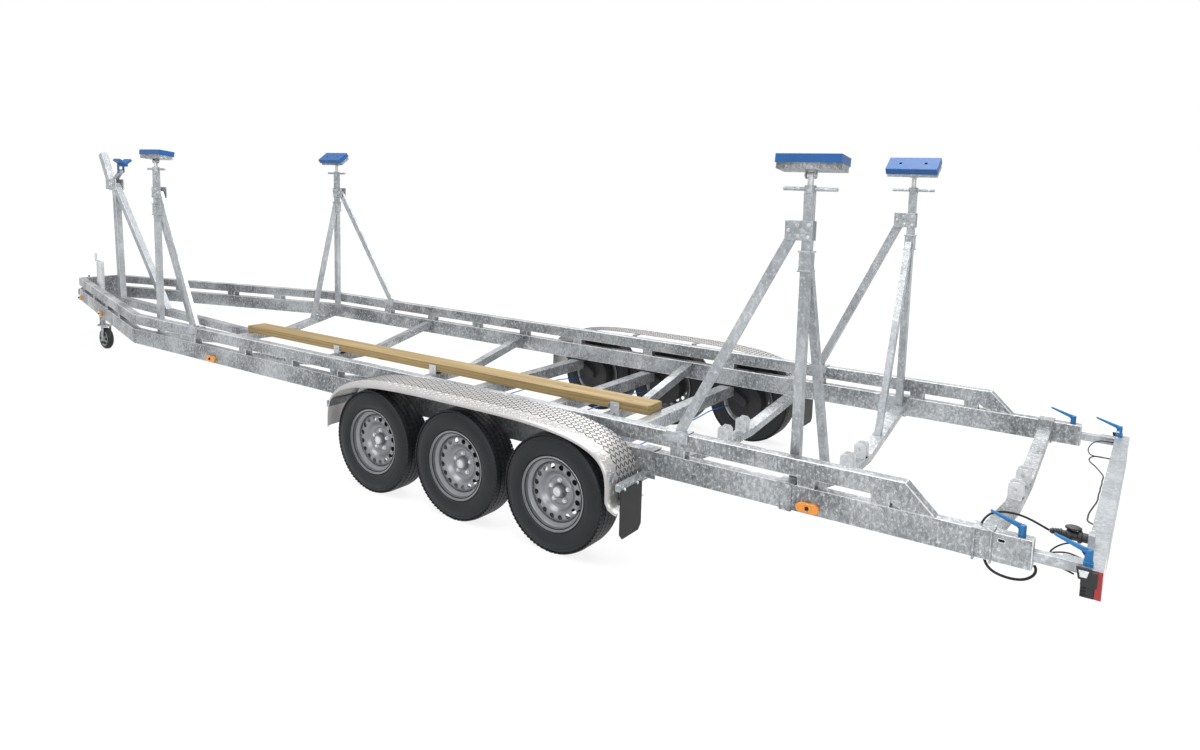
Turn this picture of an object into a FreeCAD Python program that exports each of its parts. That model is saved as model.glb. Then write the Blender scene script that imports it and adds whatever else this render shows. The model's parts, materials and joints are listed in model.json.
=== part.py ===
# Three-axle galvanised keel boat trailer, parked on its wheels and its jockey wheel.
# Frame: +X forward, +Y left, +Z up, origin on the ground at the centre of the trailer's box.
import FreeCAD, Part
import math
import os
import Sketcher

SIZES = {
    # stations along the trailer, counted from the middle axle, forward positive
    "mid_axle_x": -2004.5,
    "rear_end_st": -2800,
    "bend_st": 3890,
    "nose_st": 6580,
    # side rails
    "rail_face": 1000,
    "rail_width": 60,
    "rail_wall": 4,
    "rail_low_z": 435,
    "rail_low_height": 120,
    "rail_gap": 40,
    "rail_top_height": 80,
    "rail_bore_length": 420,
    "nose_half": 215,
    "gusset_top_st": -2314,
    "gusset_foot_st": -2440,
    "slot_top_st": -2240,
    "slot_foot_st": -2300,
    "v_spacer_1_back": 860,
    "v_spacer_2_back": 1525,
    "v_spacer_3_back": 2090,
    "spacer_length": 80,
    "rear_slot_length": 24,
    "rear_slot_height": 11,
    "rear_slot_inset": 100,
    # drawbar and cross members
    "beam_half": 40,
    "beam_height": 80,
    "beam_front_z": 505,
    "nose_beam_length": 60,
    "cross_width": 60,
    "cross_height": 60,
    "cross_end_z": 552,
    "cross_flat_half": 300,
    "cross_centre_z": 420,
    "plain_low_z": 405,
    "bow_cross_back": 222,
    "plain_cross_1_st": 2440,
    "plain_cross_2_st": 1344,
    "plain_cross_3_st": -260,
    # keel cross members: height of the top at the rails and at the centre line
    "keel_cross_width": 70,
    "keel_cross_height": 45,
    "keel_cross_1_st": -1075,
    "keel_cross_1_end_z": 470,
    "keel_cross_1_low_z": 392,
    "keel_cross_2_st": -1800,
    "keel_cross_2_end_z": 530,
    "keel_cross_2_low_z": 380,
    "keel_cross_3_st": -2620,
    "keel_cross_3_end_z": 520,
    "keel_cross_3_low_z": 415,
    "keel_flat_half": 200,
    "ear_spacing": 240,
    "ear_gap": 60,
    "ear_thick": 8,
    "ear_length": 66,
    "ear_height": 84,
    "ear_clip": 14,
    "ear_hole_radius": 8.5,
    "ear_hole_rise": 48,
    # clamps that hold the keel cross members on the lower rails
    "saddle_thick": 6,
    "saddle_length": 82,
    "saddle_overhang": 12,
    "strap_radius": 5,
    "strap_pitch": 64,
    "band_thick": 5,
    "band_length": 56,
    # keel plank
    "plank_front_st": 3700,
    "plank_rear_st": -525,
    "plank_half": 87,
    "plank_thick": 58,
    "plank_top_z": 485,
    "plank_bracket_thick": 5,
    "plank_bracket_height": 42,
    "plank_bracket_length": 60,
    # running gear
    "axle_pitch": 670,
    "axle_z": 307,
    "arm_trail": 110,
    "axle_tube": 80,
    "axle_plate_thick": 10,
    "axle_plate_length": 190,
    "arm_width": 34,
    "arm_height": 60,
    "backplate_radius": 132,
    "backplate_thick": 5,
    "stub_radius": 20,
    "tyre_radius": 307,
    "tyre_inner_radius": 178,
    "tyre_half_width": 92,
    "tyre_centre_y": 1168,
    "tread_half_width": 68,
    "shoulder_tuck": 7,
    "shoulder_drop": 14,
    "rim_flange_radius": 195,
    "rim_seat_radius": 177.7,
    "rim_half_width": 80,
    "rim_wall": 6,
    "rim_disc_outset": 30,
    "disc_crown": 12,
    "disc_dish": 26,
    "disc_outer_radius": 148,
    "disc_inner_radius": 116,
    "disc_bore_radius": 30,
    "rim_hole_radius": 13,
    "rim_hole_circle": 132,
    "rim_hole_count": 16,
    "stud_circle": 56,
    "stud_count": 5,
    "stud_radius": 9,
    "stud_length": 16,
    "drum_radius": 128,
    "drum_inner_y": 1058,
    "stub_depth": 36,
    "hub_cap_radius": 33,
    "hub_cap_length": 42,
    # mudguards
    "guard_inner_y": 1032,
    "guard_outer_y": 1272,
    "guard_thick": 3,
    "guard_skirt": 34,
    "guard_front_reach": 1080,
    "guard_rear_reach": 1040,
    "guard_front_end_z": 330,
    "guard_rear_end_z": 350,
    "guard_crown_z": 690,
    "guard_bracket_st": 260,
    "guard_bracket_width": 40,
    "guard_bracket_thick": 5,
    "guard_arm_height": 40,
    "flap_width": 192,
    "flap_height": 212,
    "flap_thick": 6,
    "flap_lap": 37,
    "flap_corner": 24,
    "guard_arm_length": 12,
    # hull stands
    "stand_offset": 4,
    "stand_y": 884,
    "post_side": 42,
    "post_wall": 4,
    "post_top_z": 1852,
    "post_bore_low_z": 1570,
    "sleeve_side": 54,
    "sleeve_low_z": 1500,
    "sleeve_height": 95,
    "sleeve_rim": 64,
    "sleeve_rim_height": 8,
    "clamp_low_z": 1640,
    "clamp_height": 88,
    "clamp_thick": 7,
    "clamp_reach": 78,
    "brace_width": 48,
    "brace_thick": 26,
    "side_brace_side": 38,
    "front_brace_reach_x": 680,
    "rear_brace_reach_x": 560,
    "front_brace_reach_y": 300,
    "rear_brace_reach_y": 450,
    "brace_saddle_length": 120,
    "brace_saddle_drop": 46,
    "brace_saddle_thick": 5,
    "screw_radius": 14,
    "screw_length": 320,
    "nut_radius": 28,
    "nut_height": 34,
    "bar_radius": 9,
    "bar_half_length": 125,
    "pin_z": 1930,
    "pin_radius": 7,
    "eye_radius": 14,
    "eye_half_length": 15,
    "lug_gap": 2.5,
    "lug_thick": 6,
    "lug_half_width": 17,
    "pad_channel_rise": 20,
    "pad_channel_height": 27,
    "pad_channel_half_length": 149,
    "pad_channel_half_width": 52,
    "pad_half_length": 152,
    "pad_half_width": 62,
    "pad_thick": 40,
    "left_pad_tilt": 8,
    "right_pad_tilt": 36,
    "right_screw_raise": 32,
    "pad_hole_radius": 9,
    "pad_hole_offset": 75,
    # bow stand, counted back from the nose
    "bow_apex_back": 430,
    "bow_apex_z": 1690,
    "bow_front_foot_back": 480,
    "bow_rear_foot_back": 1420,
    "bow_tube": 60,
    "bow_rest_tube": 68,
    "bow_rest_foot_back": 375,
    "bow_rest_foot_z": 1640,
    "bow_rest_top_back": 175,
    "bow_rest_top_z": 2010,
    "bow_clamp_back": 80,
    "bow_clamp_length": 210,
    "bow_clamp_height": 110,
    "bow_clamp_wall": 10,
    "bow_knob_radius": 26,
    "bow_pad_back": 580,
    "bow_pad_z": 1905,
    "bow_pad_length": 130,
    "bow_pad_wing": 62,
    "bow_pad_rise": 46,
    "bow_pad_thick": 26,
    "bow_pin_z": 1830,
    "bow_pin_offset": 40,
    "bow_pin_radius": 8,
    "bow_lug_gap": 3,
    "bow_lug_thick": 8,
    "bow_eye_radius": 20,
    "bow_eye_half": 19,
    # jockey wheel
    "jockey_back": 610,
    "jockey_wall_gap": 22,
    "jockey_outer_radius": 34,
    "jockey_inner_radius": 27,
    "jockey_top_z": 900,
    "jockey_low_z": 330,
    "jockey_clamp_z": 470,
    "jockey_clamp_height": 90,
    "jockey_clamp_length": 70,
    "jockey_trail": 70,
    "jockey_wheel_radius": 110,
    "jockey_wheel_half": 27,
    "jockey_fork_half": 42,
    "jockey_fork_thick": 6,
    "jockey_crown_z": 232,
    "jockey_pin_radius": 8,
    "crank_length": 110,
    "crank_side": 12,
    "crank_knob_height": 70,
    # coupling, counted forward from the nose
    "housing_length": 150,
    "housing_side": 110,
    "gaiter_length": 110,
    "gaiter_radius": 44,
    "gaiter_root": 33,
    "gaiter_folds": 6,
    "draw_tube_radius": 28,
    "coupling_reach": 465,
    "coupling_nose": 38,
    "coupling_ball_radius": 25,
    "coupling_socket_depth": 40,
    "coupling_z": 470,
    "brake_lever_length": 210,
    # light bar
    "bar_front_st": -2967,
    "board_front_st": -2996,
    "board_rear_st": -3036,
    "bar_overhang": 35,
    "bar_end_length": 250,
    "bar_top_z": 515,
    "board_height": 100,
    "bar_height": 76,
    "bar_wall": 4,
    "arm_side": 40,
    "arm_inside": 300,
    "arm_tab_length": 70,
    "lamp_length": 245,
    "lamp_height": 108,
    "lamp_depth": 60,
    "lens_depth": 24,
    "side_lamp_length": 54,
    "side_lamp_height": 60,
    "side_lamp_depth": 18,
    # marker lamps
    "marker_length": 106,
    "marker_height": 42,
    "marker_depth": 20,
    "marker_z": 448,
    "front_marker_st": 2746,
    "rear_marker_st": -1908,
    "nose_lamp_back": 25,
    "v_marker_back": 1250,
    # clamping levers
    "lever_hub_radius": 15,
    "lever_hub_height": 46,
    "lever_reach": 118,
    "lever_rise": 34,
    "lever_root_height": 20,
    "lever_tip_height": 8,
    "lever_thick": 16,
    "lever_block": 34,
    "lever_block_height": 15,
    "rail_lever_inset": 45,
    "bar_lever_inset": 35,
    # cables and their plug
    "main_cable_radius": 4.5,
    "loop_cable_radius": 5.5,
    "lamp_cable_radius": 3.5,
    "plug_radius": 19,
    "plug_y": 790,
    "plug_z": 538,
    "socket_half": 24,
    # clearances
    "seat_gap": 0.3,
    "slide_gap": 1.5,
    "bore_gap": 0.05,
}


class Size:
    """A size of the sheet, or a sum or product of sizes, with its text and its value."""

    def __init__(self, text, value):
        self.text = text
        self.value = value

    @staticmethod
    def of(other):
        return other if isinstance(other, Size) else Size(repr(other), other)

    def __add__(self, other):
        other = Size.of(other)
        return Size(f"({self.text} + {other.text})", self.value + other.value)

    def __sub__(self, other):
        other = Size.of(other)
        return Size(f"({self.text} - {other.text})", self.value - other.value)

    def __mul__(self, other):
        other = Size.of(other)
        return Size(f"({self.text} * {other.text})", self.value * other.value)

    def __truediv__(self, other):
        other = Size.of(other)
        return Size(f"({self.text} / {other.text})", self.value / other.value)

    def __neg__(self):
        return Size(f"(-1 * {self.text})", -self.value)

    __radd__ = __add__
    __rmul__ = __mul__

    def __rsub__(self, other):
        return Size.of(other) - self


class Sheet:
    """The driving sizes as attributes."""

    def __init__(self, sizes):
        for name, value in sizes.items():
            setattr(self, name, Size("Sizes." + name, value))


V = Sheet(SIZES)
LEFT = 1
RIGHT = -1
SIDES = {"left": LEFT, "right": RIGHT}
doc = FreeCAD.newDocument("boat_trailer")
SUBPARTS = []


def make_sheet():
    sheet = doc.addObject("Spreadsheet::Sheet", "Sizes")
    for row, (name, value) in enumerate(SIZES.items(), start=1):
        sheet.set(f"A{row}", name)
        sheet.set(f"B{row}", str(value))
        sheet.setAlias(f"B{row}", name)
    doc.recompute()


def number(size):
    return Size.of(size).value


def bind(thing, prop, size):
    size = Size.of(size)
    thing.setExpression(prop, size.text)


def place(thing, x=0, y=0, z=0):
    for axis, size in zip("xyz", (x, y, z)):
        bind(thing, f"Placement.Base.{axis}", size)
    return thing


def at(station):
    """Row X of a station along the trailer."""
    return V.mid_axle_x + station


def box(x, y, z, side=LEFT, name="block"):
    """Block from (low, size) pairs, mirrored to the right-hand side when asked."""
    block = doc.addObject("Part::Box", name)
    bind(block, "Length", x[1])
    bind(block, "Width", y[1])
    bind(block, "Height", z[1])
    low_y = y[0] if side == LEFT else -(Size.of(y[0]) + y[1])
    return place(block, x[0], low_y, z[0])


def around(centre, size):
    """(low, size) pair of a span centred on a value."""
    return (Size.of(centre) - Size.of(size) / 2, size)


AXIS_TURNS = {
    "x": FreeCAD.Rotation(FreeCAD.Vector(0, 1, 0), 90),
    "y": FreeCAD.Rotation(FreeCAD.Vector(1, 0, 0), -90),
    "z": FreeCAD.Rotation(),
}


def rod(radius, length, start, along="z", name="rod"):
    """Cylinder from a start point along +X, +Y or +Z."""
    cylinder = doc.addObject("Part::Cylinder", name)
    bind(cylinder, "Radius", radius)
    bind(cylinder, "Height", length)
    cylinder.Placement = FreeCAD.Placement(FreeCAD.Vector(), AXIS_TURNS[along])
    return place(cylinder, *start)


def prism(sides, radius, length, start, along="z", name="prism"):
    """Regular prism from a start point along +X, +Y or +Z."""
    solid = doc.addObject("Part::Prism", name)
    solid.Polygon = sides
    bind(solid, "Circumradius", radius)
    bind(solid, "Height", length)
    solid.Placement = FreeCAD.Placement(FreeCAD.Vector(), AXIS_TURNS[along])
    return place(solid, *start)


def sketch_outline(body, role, points, name):
    """Closed outline on an origin plane, each corner held by two driven distances."""
    sketch = body.newObject("Sketcher::SketchObject", name)
    plane = next(f for f in body.Origin.OriginFeatures if f.Role == role)
    sketch.AttachmentSupport = (plane, [""])
    sketch.MapMode = "FlatFace"
    corners = [FreeCAD.Vector(number(a), number(b), 0) for a, b in points]
    count = len(corners)
    for i in range(count):
        sketch.addGeometry(Part.LineSegment(corners[i], corners[(i + 1) % count]), False)
    for i in range(count):
        sketch.addConstraint(Sketcher.Constraint("Coincident", i, 2, (i + 1) % count, 1))
    for i, (a, b) in enumerate(points):
        for kind, size in (("DistanceX", a), ("DistanceY", b)):
            index = sketch.addConstraint(Sketcher.Constraint(kind, -1, 1, i, 1, number(size)))
            sketch.setExpression(f"Constraints[{index}]", Size.of(size).text)
    return sketch


def pad(points, length, role="XY_Plane", at_point=(0, 0, 0), name="profile"):
    """Body padded from an outline. XY pads go up, XZ pads go to -Y, YZ pads go to +X."""
    body = doc.addObject("PartDesign::Body", name)
    sketch = sketch_outline(body, role, points, name + "_outline")
    feature = body.newObject("PartDesign::Pad", name + "_pad")
    feature.Profile = sketch
    bind(feature, "Length", length)
    body.Tip = feature
    return place(body, *at_point)


def faceted(profile, sides, name, centre):
    """Ring of flat faces about the Y axis from a closed outline of (y, radius) points."""
    points = [(number(y), number(r)) for y, r in profile]

    def corner(index, step):
        y, r = points[index % len(points)]
        turn = 2 * math.pi * (step % sides) / sides - math.pi / 2
        return FreeCAD.Vector(r * math.cos(turn), y, r * math.sin(turn))

    faces = []
    for step in range(sides):
        for index in range(len(points)):
            ring = [corner(index, step), corner(index + 1, step),
                    corner(index + 1, step + 1), corner(index, step + 1)]
            faces.append(Part.Face(Part.makePolygon(ring + ring[:1])))
    solid = Part.Solid(Part.Shell(faces))
    if solid.Volume < 0:
        solid.reverse()
    thing = doc.addObject("Part::Feature", name)
    thing.Shape = solid
    return place(thing, *centre)


def fuse(parts, name="joined"):
    joined = doc.addObject("Part::MultiFuse", name)
    joined.Shapes = parts
    return joined


def cut(base, tools, name="cut"):
    tool = tools[0] if len(tools) == 1 else fuse(tools, name + "_tools")
    result = doc.addObject("Part::Cut", name)
    result.Base = base
    result.Tool = tool
    return result


def group(parts, name="group"):
    compound = doc.addObject("Part::Compound", name)
    compound.Links = parts
    return compound


def keep(thing, node):
    """Name a finished sub-part; the name is also its file's."""
    thing.Label = node
    SUBPARTS.append(thing)
    return thing


def distance(start, end):
    """Length between two points as a size."""
    squares = [(Size.of(b) - a) * (Size.of(b) - a) for a, b in zip(start, end)]
    total = squares[0] + squares[1] + squares[2]
    return Size(f"sqrt({total.text})", math.sqrt(total.value))


def strut(start, end, width, depth, name="strut"):
    """Straight bar between two points; its width lies level and its depth across that."""
    bar = doc.addObject("Part::Box", name)
    bind(bar, "Length", distance(start, end))
    bind(bar, "Width", width)
    bind(bar, "Height", depth)
    a = FreeCAD.Vector(*[number(c) for c in start])
    b = FreeCAD.Vector(*[number(c) for c in end])
    along = (b - a).normalize()
    level = FreeCAD.Vector(0, 0, 1).cross(along).normalize()
    turn = FreeCAD.Rotation(along, level, along.cross(level), "XYZ")
    offset = turn.multVec(FreeCAD.Vector(0, number(width) / 2, number(depth) / 2))
    bar.Placement = FreeCAD.Placement(a - offset, turn)
    return bar


def mirrored(points, side):
    """Plan outline of the left side, or its mirror image."""
    return [(x, Size.of(y) * side) for x, y in points]


def v_slope():
    """Sideways step of a V rail for each unit of length."""
    return (V.rail_face - V.nose_half) / (V.nose_st - V.bend_st)


def v_cosine():
    slope = v_slope()
    return Size(f"(1 / sqrt(1 + {slope.text} * {slope.text}))", 1 / math.sqrt(1 + slope.value ** 2))


def v_inset(depth):
    """Level distance across a V rail for a depth square to it."""
    return Size.of(depth) / v_cosine()


def bend_shift(depth):
    """How far back the inner corner of the bend lies for a depth from the outer face."""
    return (v_inset(depth) - depth) / v_slope()


TOP_RAIL_Z = V.rail_low_z + V.rail_low_height + V.rail_gap
RAIL_TOP_Z = TOP_RAIL_Z + V.rail_top_height
CHANNEL_Z = V.rail_low_z + V.rail_low_height
RAIL_INNER = V.rail_face - V.rail_width
RAIL_MIDDLE = V.rail_face - V.rail_width / 2
BOW_CROSS_ST = V.bend_st - V.bow_cross_back
STAND_STATIONS = {"front": BOW_CROSS_ST + V.stand_offset, "rear": V.keel_cross_2_st + V.stand_offset}
BAR_UNDER_Z = V.bar_top_z - V.bar_wall
ARM_MIDDLE_Z = BAR_UNDER_Z - V.arm_side / 2
BAR_HALF = V.rail_face + V.bar_overhang
BAR_CHANNEL_HALF = BAR_HALF - V.bar_end_length
SPACER_STATIONS = {
    "left": (3014, 2360, 1810, 1333, 770, 109, -576, -1240, -1890, -2215),
    "right": (3014, 2430, 1876, 1333, 770, 109, -576, -1240, -1884, -2205),
}


def from_nose(back):
    """Row X of a place counted back from the nose."""
    return at(V.nose_st - back)


def v_face(back):
    """Outer face of the left V rail at a place counted back from the nose."""
    return V.nose_half + v_slope() * back


def side_rail(word, side):
    """Lower rail: straight tube, bent in towards the nose, open at the rear for the light bar."""
    plan = [
        (at(V.rear_end_st), V.rail_face),
        (at(V.rear_end_st), RAIL_INNER),
        (at(V.bend_st) - bend_shift(V.rail_width), RAIL_INNER),
        (at(V.nose_st), V.nose_half - v_inset(V.rail_width)),
        (at(V.nose_st), V.nose_half),
        (at(V.bend_st), V.rail_face),
    ]
    bar = pad(mirrored(plan, side), V.rail_low_height, at_point=(0, 0, V.rail_low_z), name="side_rail")
    bore = box((at(V.rear_end_st) + V.rail_wall, V.rail_bore_length),
               (RAIL_INNER + V.rail_wall, V.rail_width - V.rail_wall * 2),
               (V.rail_low_z + V.rail_wall, V.rail_low_height - V.rail_wall * 2), side)
    gate_side = V.arm_side + V.slide_gap * 2
    gate = box((at(V.rear_end_st) - V.rail_wall, V.rail_wall * 3), around(RAIL_MIDDLE, gate_side),
               around(ARM_MIDDLE_Z, gate_side), side)
    slot = box((at(V.rear_end_st) + V.rear_slot_inset, V.rear_slot_length),
               (V.rail_face - V.rail_wall * 2, V.rail_wall * 3),
               (CHANNEL_Z - V.rear_slot_height * 3, V.rear_slot_height), side, "cable_slot")
    keep(cut(bar, [bore, gate, slot]), "side_rail_" + word)


def v_part(side, near, far, z, height, name):
    """Piece of the V rail's section between two places counted back from the nose."""
    plan = [
        (from_nose(near), v_face(near)),
        (from_nose(far), v_face(far)),
        (from_nose(far), v_face(far) - v_inset(V.rail_width)),
        (from_nose(near), v_face(near) - v_inset(V.rail_width)),
    ]
    return pad(mirrored(plan, side), height, at_point=(0, 0, z), name=name)


def v_rail(side):
    """Upper rail of the V with its spacer blocks, from the bend to the nose."""
    start = at(V.bend_st)
    plan = [
        (start - V.spacer_length, V.rail_face),
        (start - V.spacer_length, RAIL_INNER),
        (start - bend_shift(V.rail_width), RAIL_INNER),
        (at(V.nose_st), V.nose_half - v_inset(V.rail_width)),
        (at(V.nose_st), V.nose_half),
        (start, V.rail_face),
    ]
    rail = pad(mirrored(plan, side), V.rail_top_height, at_point=(0, 0, TOP_RAIL_Z), name="v_rail")
    half = V.spacer_length / 2
    blocks = [v_part(side, back - half, back + half, CHANNEL_Z, V.rail_gap, "v_spacer")
              for back in (V.v_spacer_1_back, V.v_spacer_2_back, V.v_spacer_3_back)]
    return [rail] + blocks


def top_rail(word, side):
    """Upper rail with its sloped rear gusset, its bend into the V and its spacer blocks."""
    outline = [
        (at(V.gusset_foot_st), CHANNEL_Z),
        (at(V.gusset_top_st), RAIL_TOP_Z),
        (at(V.bend_st), RAIL_TOP_Z),
        (at(V.bend_st), TOP_RAIL_Z),
        (at(V.slot_top_st), TOP_RAIL_Z),
        (at(V.slot_foot_st), CHANNEL_Z),
    ]
    outer_y = V.rail_face if side == LEFT else -RAIL_INNER
    straight = pad(outline, V.rail_width, "XZ_Plane", (0, outer_y, 0), "top_rail")
    blocks = [box(around(at(station), V.spacer_length), (RAIL_INNER, V.rail_width),
                  (CHANNEL_Z, V.rail_gap), side, "spacer") for station in SPACER_STATIONS[word]]
    keep(fuse([straight] + v_rail(side) + blocks), "top_rail_" + word)


def beam_top(back):
    """Height of the centre beam's top at a place counted back from the nose."""
    run = V.bend_st - V.bow_cross_back + V.cross_width / 2
    slope = (V.beam_front_z - V.cross_centre_z) / (V.nose_st - V.nose_beam_length - run)
    return V.beam_front_z - slope * (back - V.nose_beam_length)


def drawbar():
    """Nose beam between the V rails and the centre beam back to the bow cross member."""
    inner = V.nose_half - v_inset(V.rail_width)
    nose_plan = [
        (at(V.nose_st), inner),
        (at(V.nose_st), -inner),
        (from_nose(V.nose_beam_length), -(inner + v_slope() * V.nose_beam_length)),
        (from_nose(V.nose_beam_length), inner + v_slope() * V.nose_beam_length),
    ]
    nose = pad(nose_plan, RAIL_TOP_Z - V.rail_low_z, at_point=(0, 0, V.rail_low_z), name="nose_beam")
    front = from_nose(V.nose_beam_length)
    back = at(BOW_CROSS_ST) + V.cross_width / 2
    side_view = [
        (front, V.beam_front_z),
        (front, V.beam_front_z - V.beam_height),
        (back, V.cross_centre_z - V.cross_height),
        (back, V.cross_centre_z),
    ]
    beam = pad(side_view, V.beam_half * 2, "XZ_Plane", (0, V.beam_half, 0), "centre_beam")
    keep(fuse([nose, beam]), "drawbar")


def cross_bar(station, end_z, low_z, flat_half, height, width, name):
    """Bar between the rails that dips to a level middle stretch."""
    top = [(RAIL_INNER, end_z), (flat_half, low_z), (-flat_half, low_z), (-RAIL_INNER, end_z)]
    under = [(y, Size.of(z) - height) for y, z in reversed(top)]
    return pad(top + under, width, "YZ_Plane", (at(station) - width / 2, 0, 0), name)


def cross_top(y, end_z, low_z, flat_half):
    """Height of a dipped bar's top at a distance from the centre line, beyond its flat."""
    return low_z + (Size.of(end_z) - low_z) * (Size.of(y) - flat_half) / (RAIL_INNER - flat_half)


def bow_crossmember():
    bar = cross_bar(BOW_CROSS_ST, V.cross_end_z, V.cross_centre_z, V.cross_flat_half,
                    V.cross_height, V.cross_width, "bow_cross")
    keep(bar, "bow_crossmember")


def plank_bracket(station):
    """U strip under the plank, on a cross member's flat."""
    thick = V.plank_bracket_thick
    floor_z = V.plank_top_z - V.plank_thick - V.seat_gap - thick
    outer = V.plank_half + V.seat_gap + thick
    span = around(at(station), V.plank_bracket_length)
    post = box(span, (-V.beam_half, V.beam_half * 2), (V.plain_low_z - 1, floor_z - V.plain_low_z + 1))
    parts = [box(span, (-outer, outer * 2), (floor_z, thick)), post]
    for side in SIDES.values():
        parts.append(box(span, (outer - thick, thick), (floor_z, V.plank_bracket_height), side))
    return parts


def plain_crossmembers():
    bars = []
    for station in (V.plain_cross_1_st, V.plain_cross_2_st, V.plain_cross_3_st):
        bar = cross_bar(station, V.cross_end_z, V.plain_low_z, V.cross_flat_half,
                        V.cross_height, V.cross_width, "plain_cross")
        bars.append(fuse([bar] + plank_bracket(station)))
    keep(group(bars), "plain_crossmembers")


def ear(station, y, low_z):
    """Upright plate with clipped top corners and a pin hole, one of a pair."""
    x = at(station)
    half = V.ear_length / 2
    top_z = low_z + V.ear_height
    outline = [
        (x - half, low_z), (x + half, low_z), (x + half, top_z - V.ear_clip),
        (x + half - V.ear_clip, top_z), (x - half + V.ear_clip, top_z), (x - half, top_z - V.ear_clip),
    ]
    plate = pad(outline, V.ear_thick, "XZ_Plane", (0, y + V.ear_thick / 2, 0), "ear")
    hole = prism(12, V.ear_hole_radius, V.ear_thick * 3,
                 (x, y - V.ear_thick * 1.5, low_z + V.ear_hole_rise), "y")
    return cut(plate, [hole])


def saddle(station, side):
    """Plate on top of the lower rail, from the cross member over to the outer face."""
    length = V.rail_width + V.saddle_overhang * 2
    return box(around(at(station), V.saddle_length), (RAIL_INNER - V.saddle_overhang, length),
               (CHANNEL_Z + V.seat_gap, V.saddle_thick), side, "saddle")


def round_straps(station, side):
    """Two round U-bolts about the lower rail, down from the saddle's edges."""
    parts = []
    radius = V.strap_radius
    reach = radius + V.seat_gap
    low_z = V.rail_low_z - reach
    for step in (V.strap_pitch / 2, V.strap_pitch / -2):
        x = at(station) + step
        for y in (V.rail_face + reach, RAIL_INNER - reach):
            parts.append(prism(8, radius, CHANNEL_Z + V.saddle_thick - low_z,
                               (x, y * side, low_z), "z", "strap"))
        low_y = RAIL_INNER - reach if side == LEFT else -(V.rail_face + reach)
        parts.append(prism(8, radius, V.rail_width + reach * 2, (x, low_y, low_z), "y", "strap"))
    return parts


def flat_band(station, side):
    """Wide flat band about the lower rail."""
    thick = V.band_thick
    low_z = V.rail_low_z - V.seat_gap - thick
    span = around(at(station), V.band_length)
    height = CHANNEL_Z + V.seat_gap + V.saddle_thick - low_z
    return [
        box(span, (V.rail_face + V.seat_gap, thick), (low_z, height), side, "band"),
        box(span, (RAIL_INNER - V.seat_gap - thick, V.rail_width + V.seat_gap * 2 + thick * 2),
            (low_z, thick), side, "band"),
        box(span, (RAIL_INNER - V.seat_gap - thick, thick), (low_z, height), side, "band"),
    ]


def keel_crossmember(word, station, end_z, low_z, hold):
    """Dipped cross member clamped on the lower rails, with two pairs of ears for a keel roller."""
    bar = cross_bar(station, end_z, low_z, V.keel_flat_half, V.keel_cross_height,
                    V.keel_cross_width, "keel_cross")
    parts = [bar]
    for centre in (V.ear_spacing / 2, -V.ear_spacing / 2):
        for step in (V.ear_gap / 2, -V.ear_gap / 2):
            parts.append(ear(station, centre + step, low_z))
    for side in SIDES.values():
        parts.append(saddle(station, side))
        riser_low = end_z - V.keel_cross_height
        parts.append(box(around(at(station), V.keel_cross_width),
                         (RAIL_INNER - V.saddle_overhang, V.saddle_overhang - V.seat_gap),
                         (riser_low, CHANNEL_Z + V.saddle_thick - riser_low), side, "riser"))
        parts += hold(station, side)
    keep(fuse(parts), "keel_crossmember_" + word)


def keel_plank():
    plank = box((at(V.plank_rear_st), V.plank_front_st - V.plank_rear_st),
                (-V.plank_half, V.plank_half * 2), (V.plank_top_z - V.plank_thick, V.plank_thick))
    keep(plank, "keel_plank")


def wheel_stations():
    return {"front": V.axle_pitch, "middle": Size.of(0), "rear": -V.axle_pitch}


def axle(station):
    """Square torsion tube under the rails with plates, trailing arms, backplates and stub shafts."""
    tube_x = at(station) + V.arm_trail
    tube_z = V.rail_low_z - V.axle_plate_thick - V.axle_tube / 2
    parts = [box(around(tube_x, V.axle_tube), (-V.rail_face, V.rail_face * 2),
                 around(tube_z, V.axle_tube), name="axle_tube")]
    arm_y = V.rail_face + V.arm_width / 2
    stub_end = V.drum_inner_y + V.stub_depth
    for side in SIDES.values():
        parts.append(box(around(tube_x, V.axle_plate_length), (RAIL_INNER, V.rail_width),
                         (V.rail_low_z - V.axle_plate_thick, V.axle_plate_thick), side, "axle_plate"))
        start = (tube_x, arm_y * side, tube_z)
        end = (at(station), arm_y * side, V.axle_z)
        parts.append(strut(start, end, V.arm_width, V.arm_height, "trailing_arm"))
        for x, _, z in (start, end):
            low = V.rail_face if side == LEFT else -(V.rail_face + V.arm_width)
            parts.append(prism(16, V.arm_height / 2, V.arm_width, (x, low, z), "y", "arm_end"))
        low = V.rail_face if side == LEFT else -stub_end
        parts.append(rod(V.stub_radius, stub_end - V.rail_face, (at(station), low, V.axle_z), "y", "stub"))
        plate_y = V.rail_face + V.arm_width
        low = plate_y if side == LEFT else -(plate_y + V.backplate_thick)
        parts.append(prism(WHEEL_SIDES, V.backplate_radius, V.backplate_thick,
                           (at(station), low, V.axle_z), "y", "backplate"))
    return fuse(parts)


WHEEL_SIDES = 30


def tyre(side_word, side, word, station):
    """Tyre: flat tread, rounded shoulders and bulged side walls, open bore on the rim."""
    y = V.tyre_half_width
    bead_y = V.rim_half_width - V.rim_wall - V.seat_gap
    bulge_r = (V.tyre_radius + V.tyre_inner_radius) / 2
    flange_r = V.rim_flange_radius + V.seat_gap * 2
    right_half = [
        (bead_y, V.tyre_inner_radius), (bead_y, flange_r), (y, bulge_r),
        (y - V.shoulder_tuck, V.tyre_radius - V.shoulder_drop), (V.tread_half_width, V.tyre_radius),
    ]
    profile = [(-a, r) for a, r in right_half] + list(reversed(right_half))
    body = faceted(profile, WHEEL_SIDES, "tyre", (at(station), V.tyre_centre_y * side, V.axle_z))
    keep(body, f"tyre_{side_word}_{word}")


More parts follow.
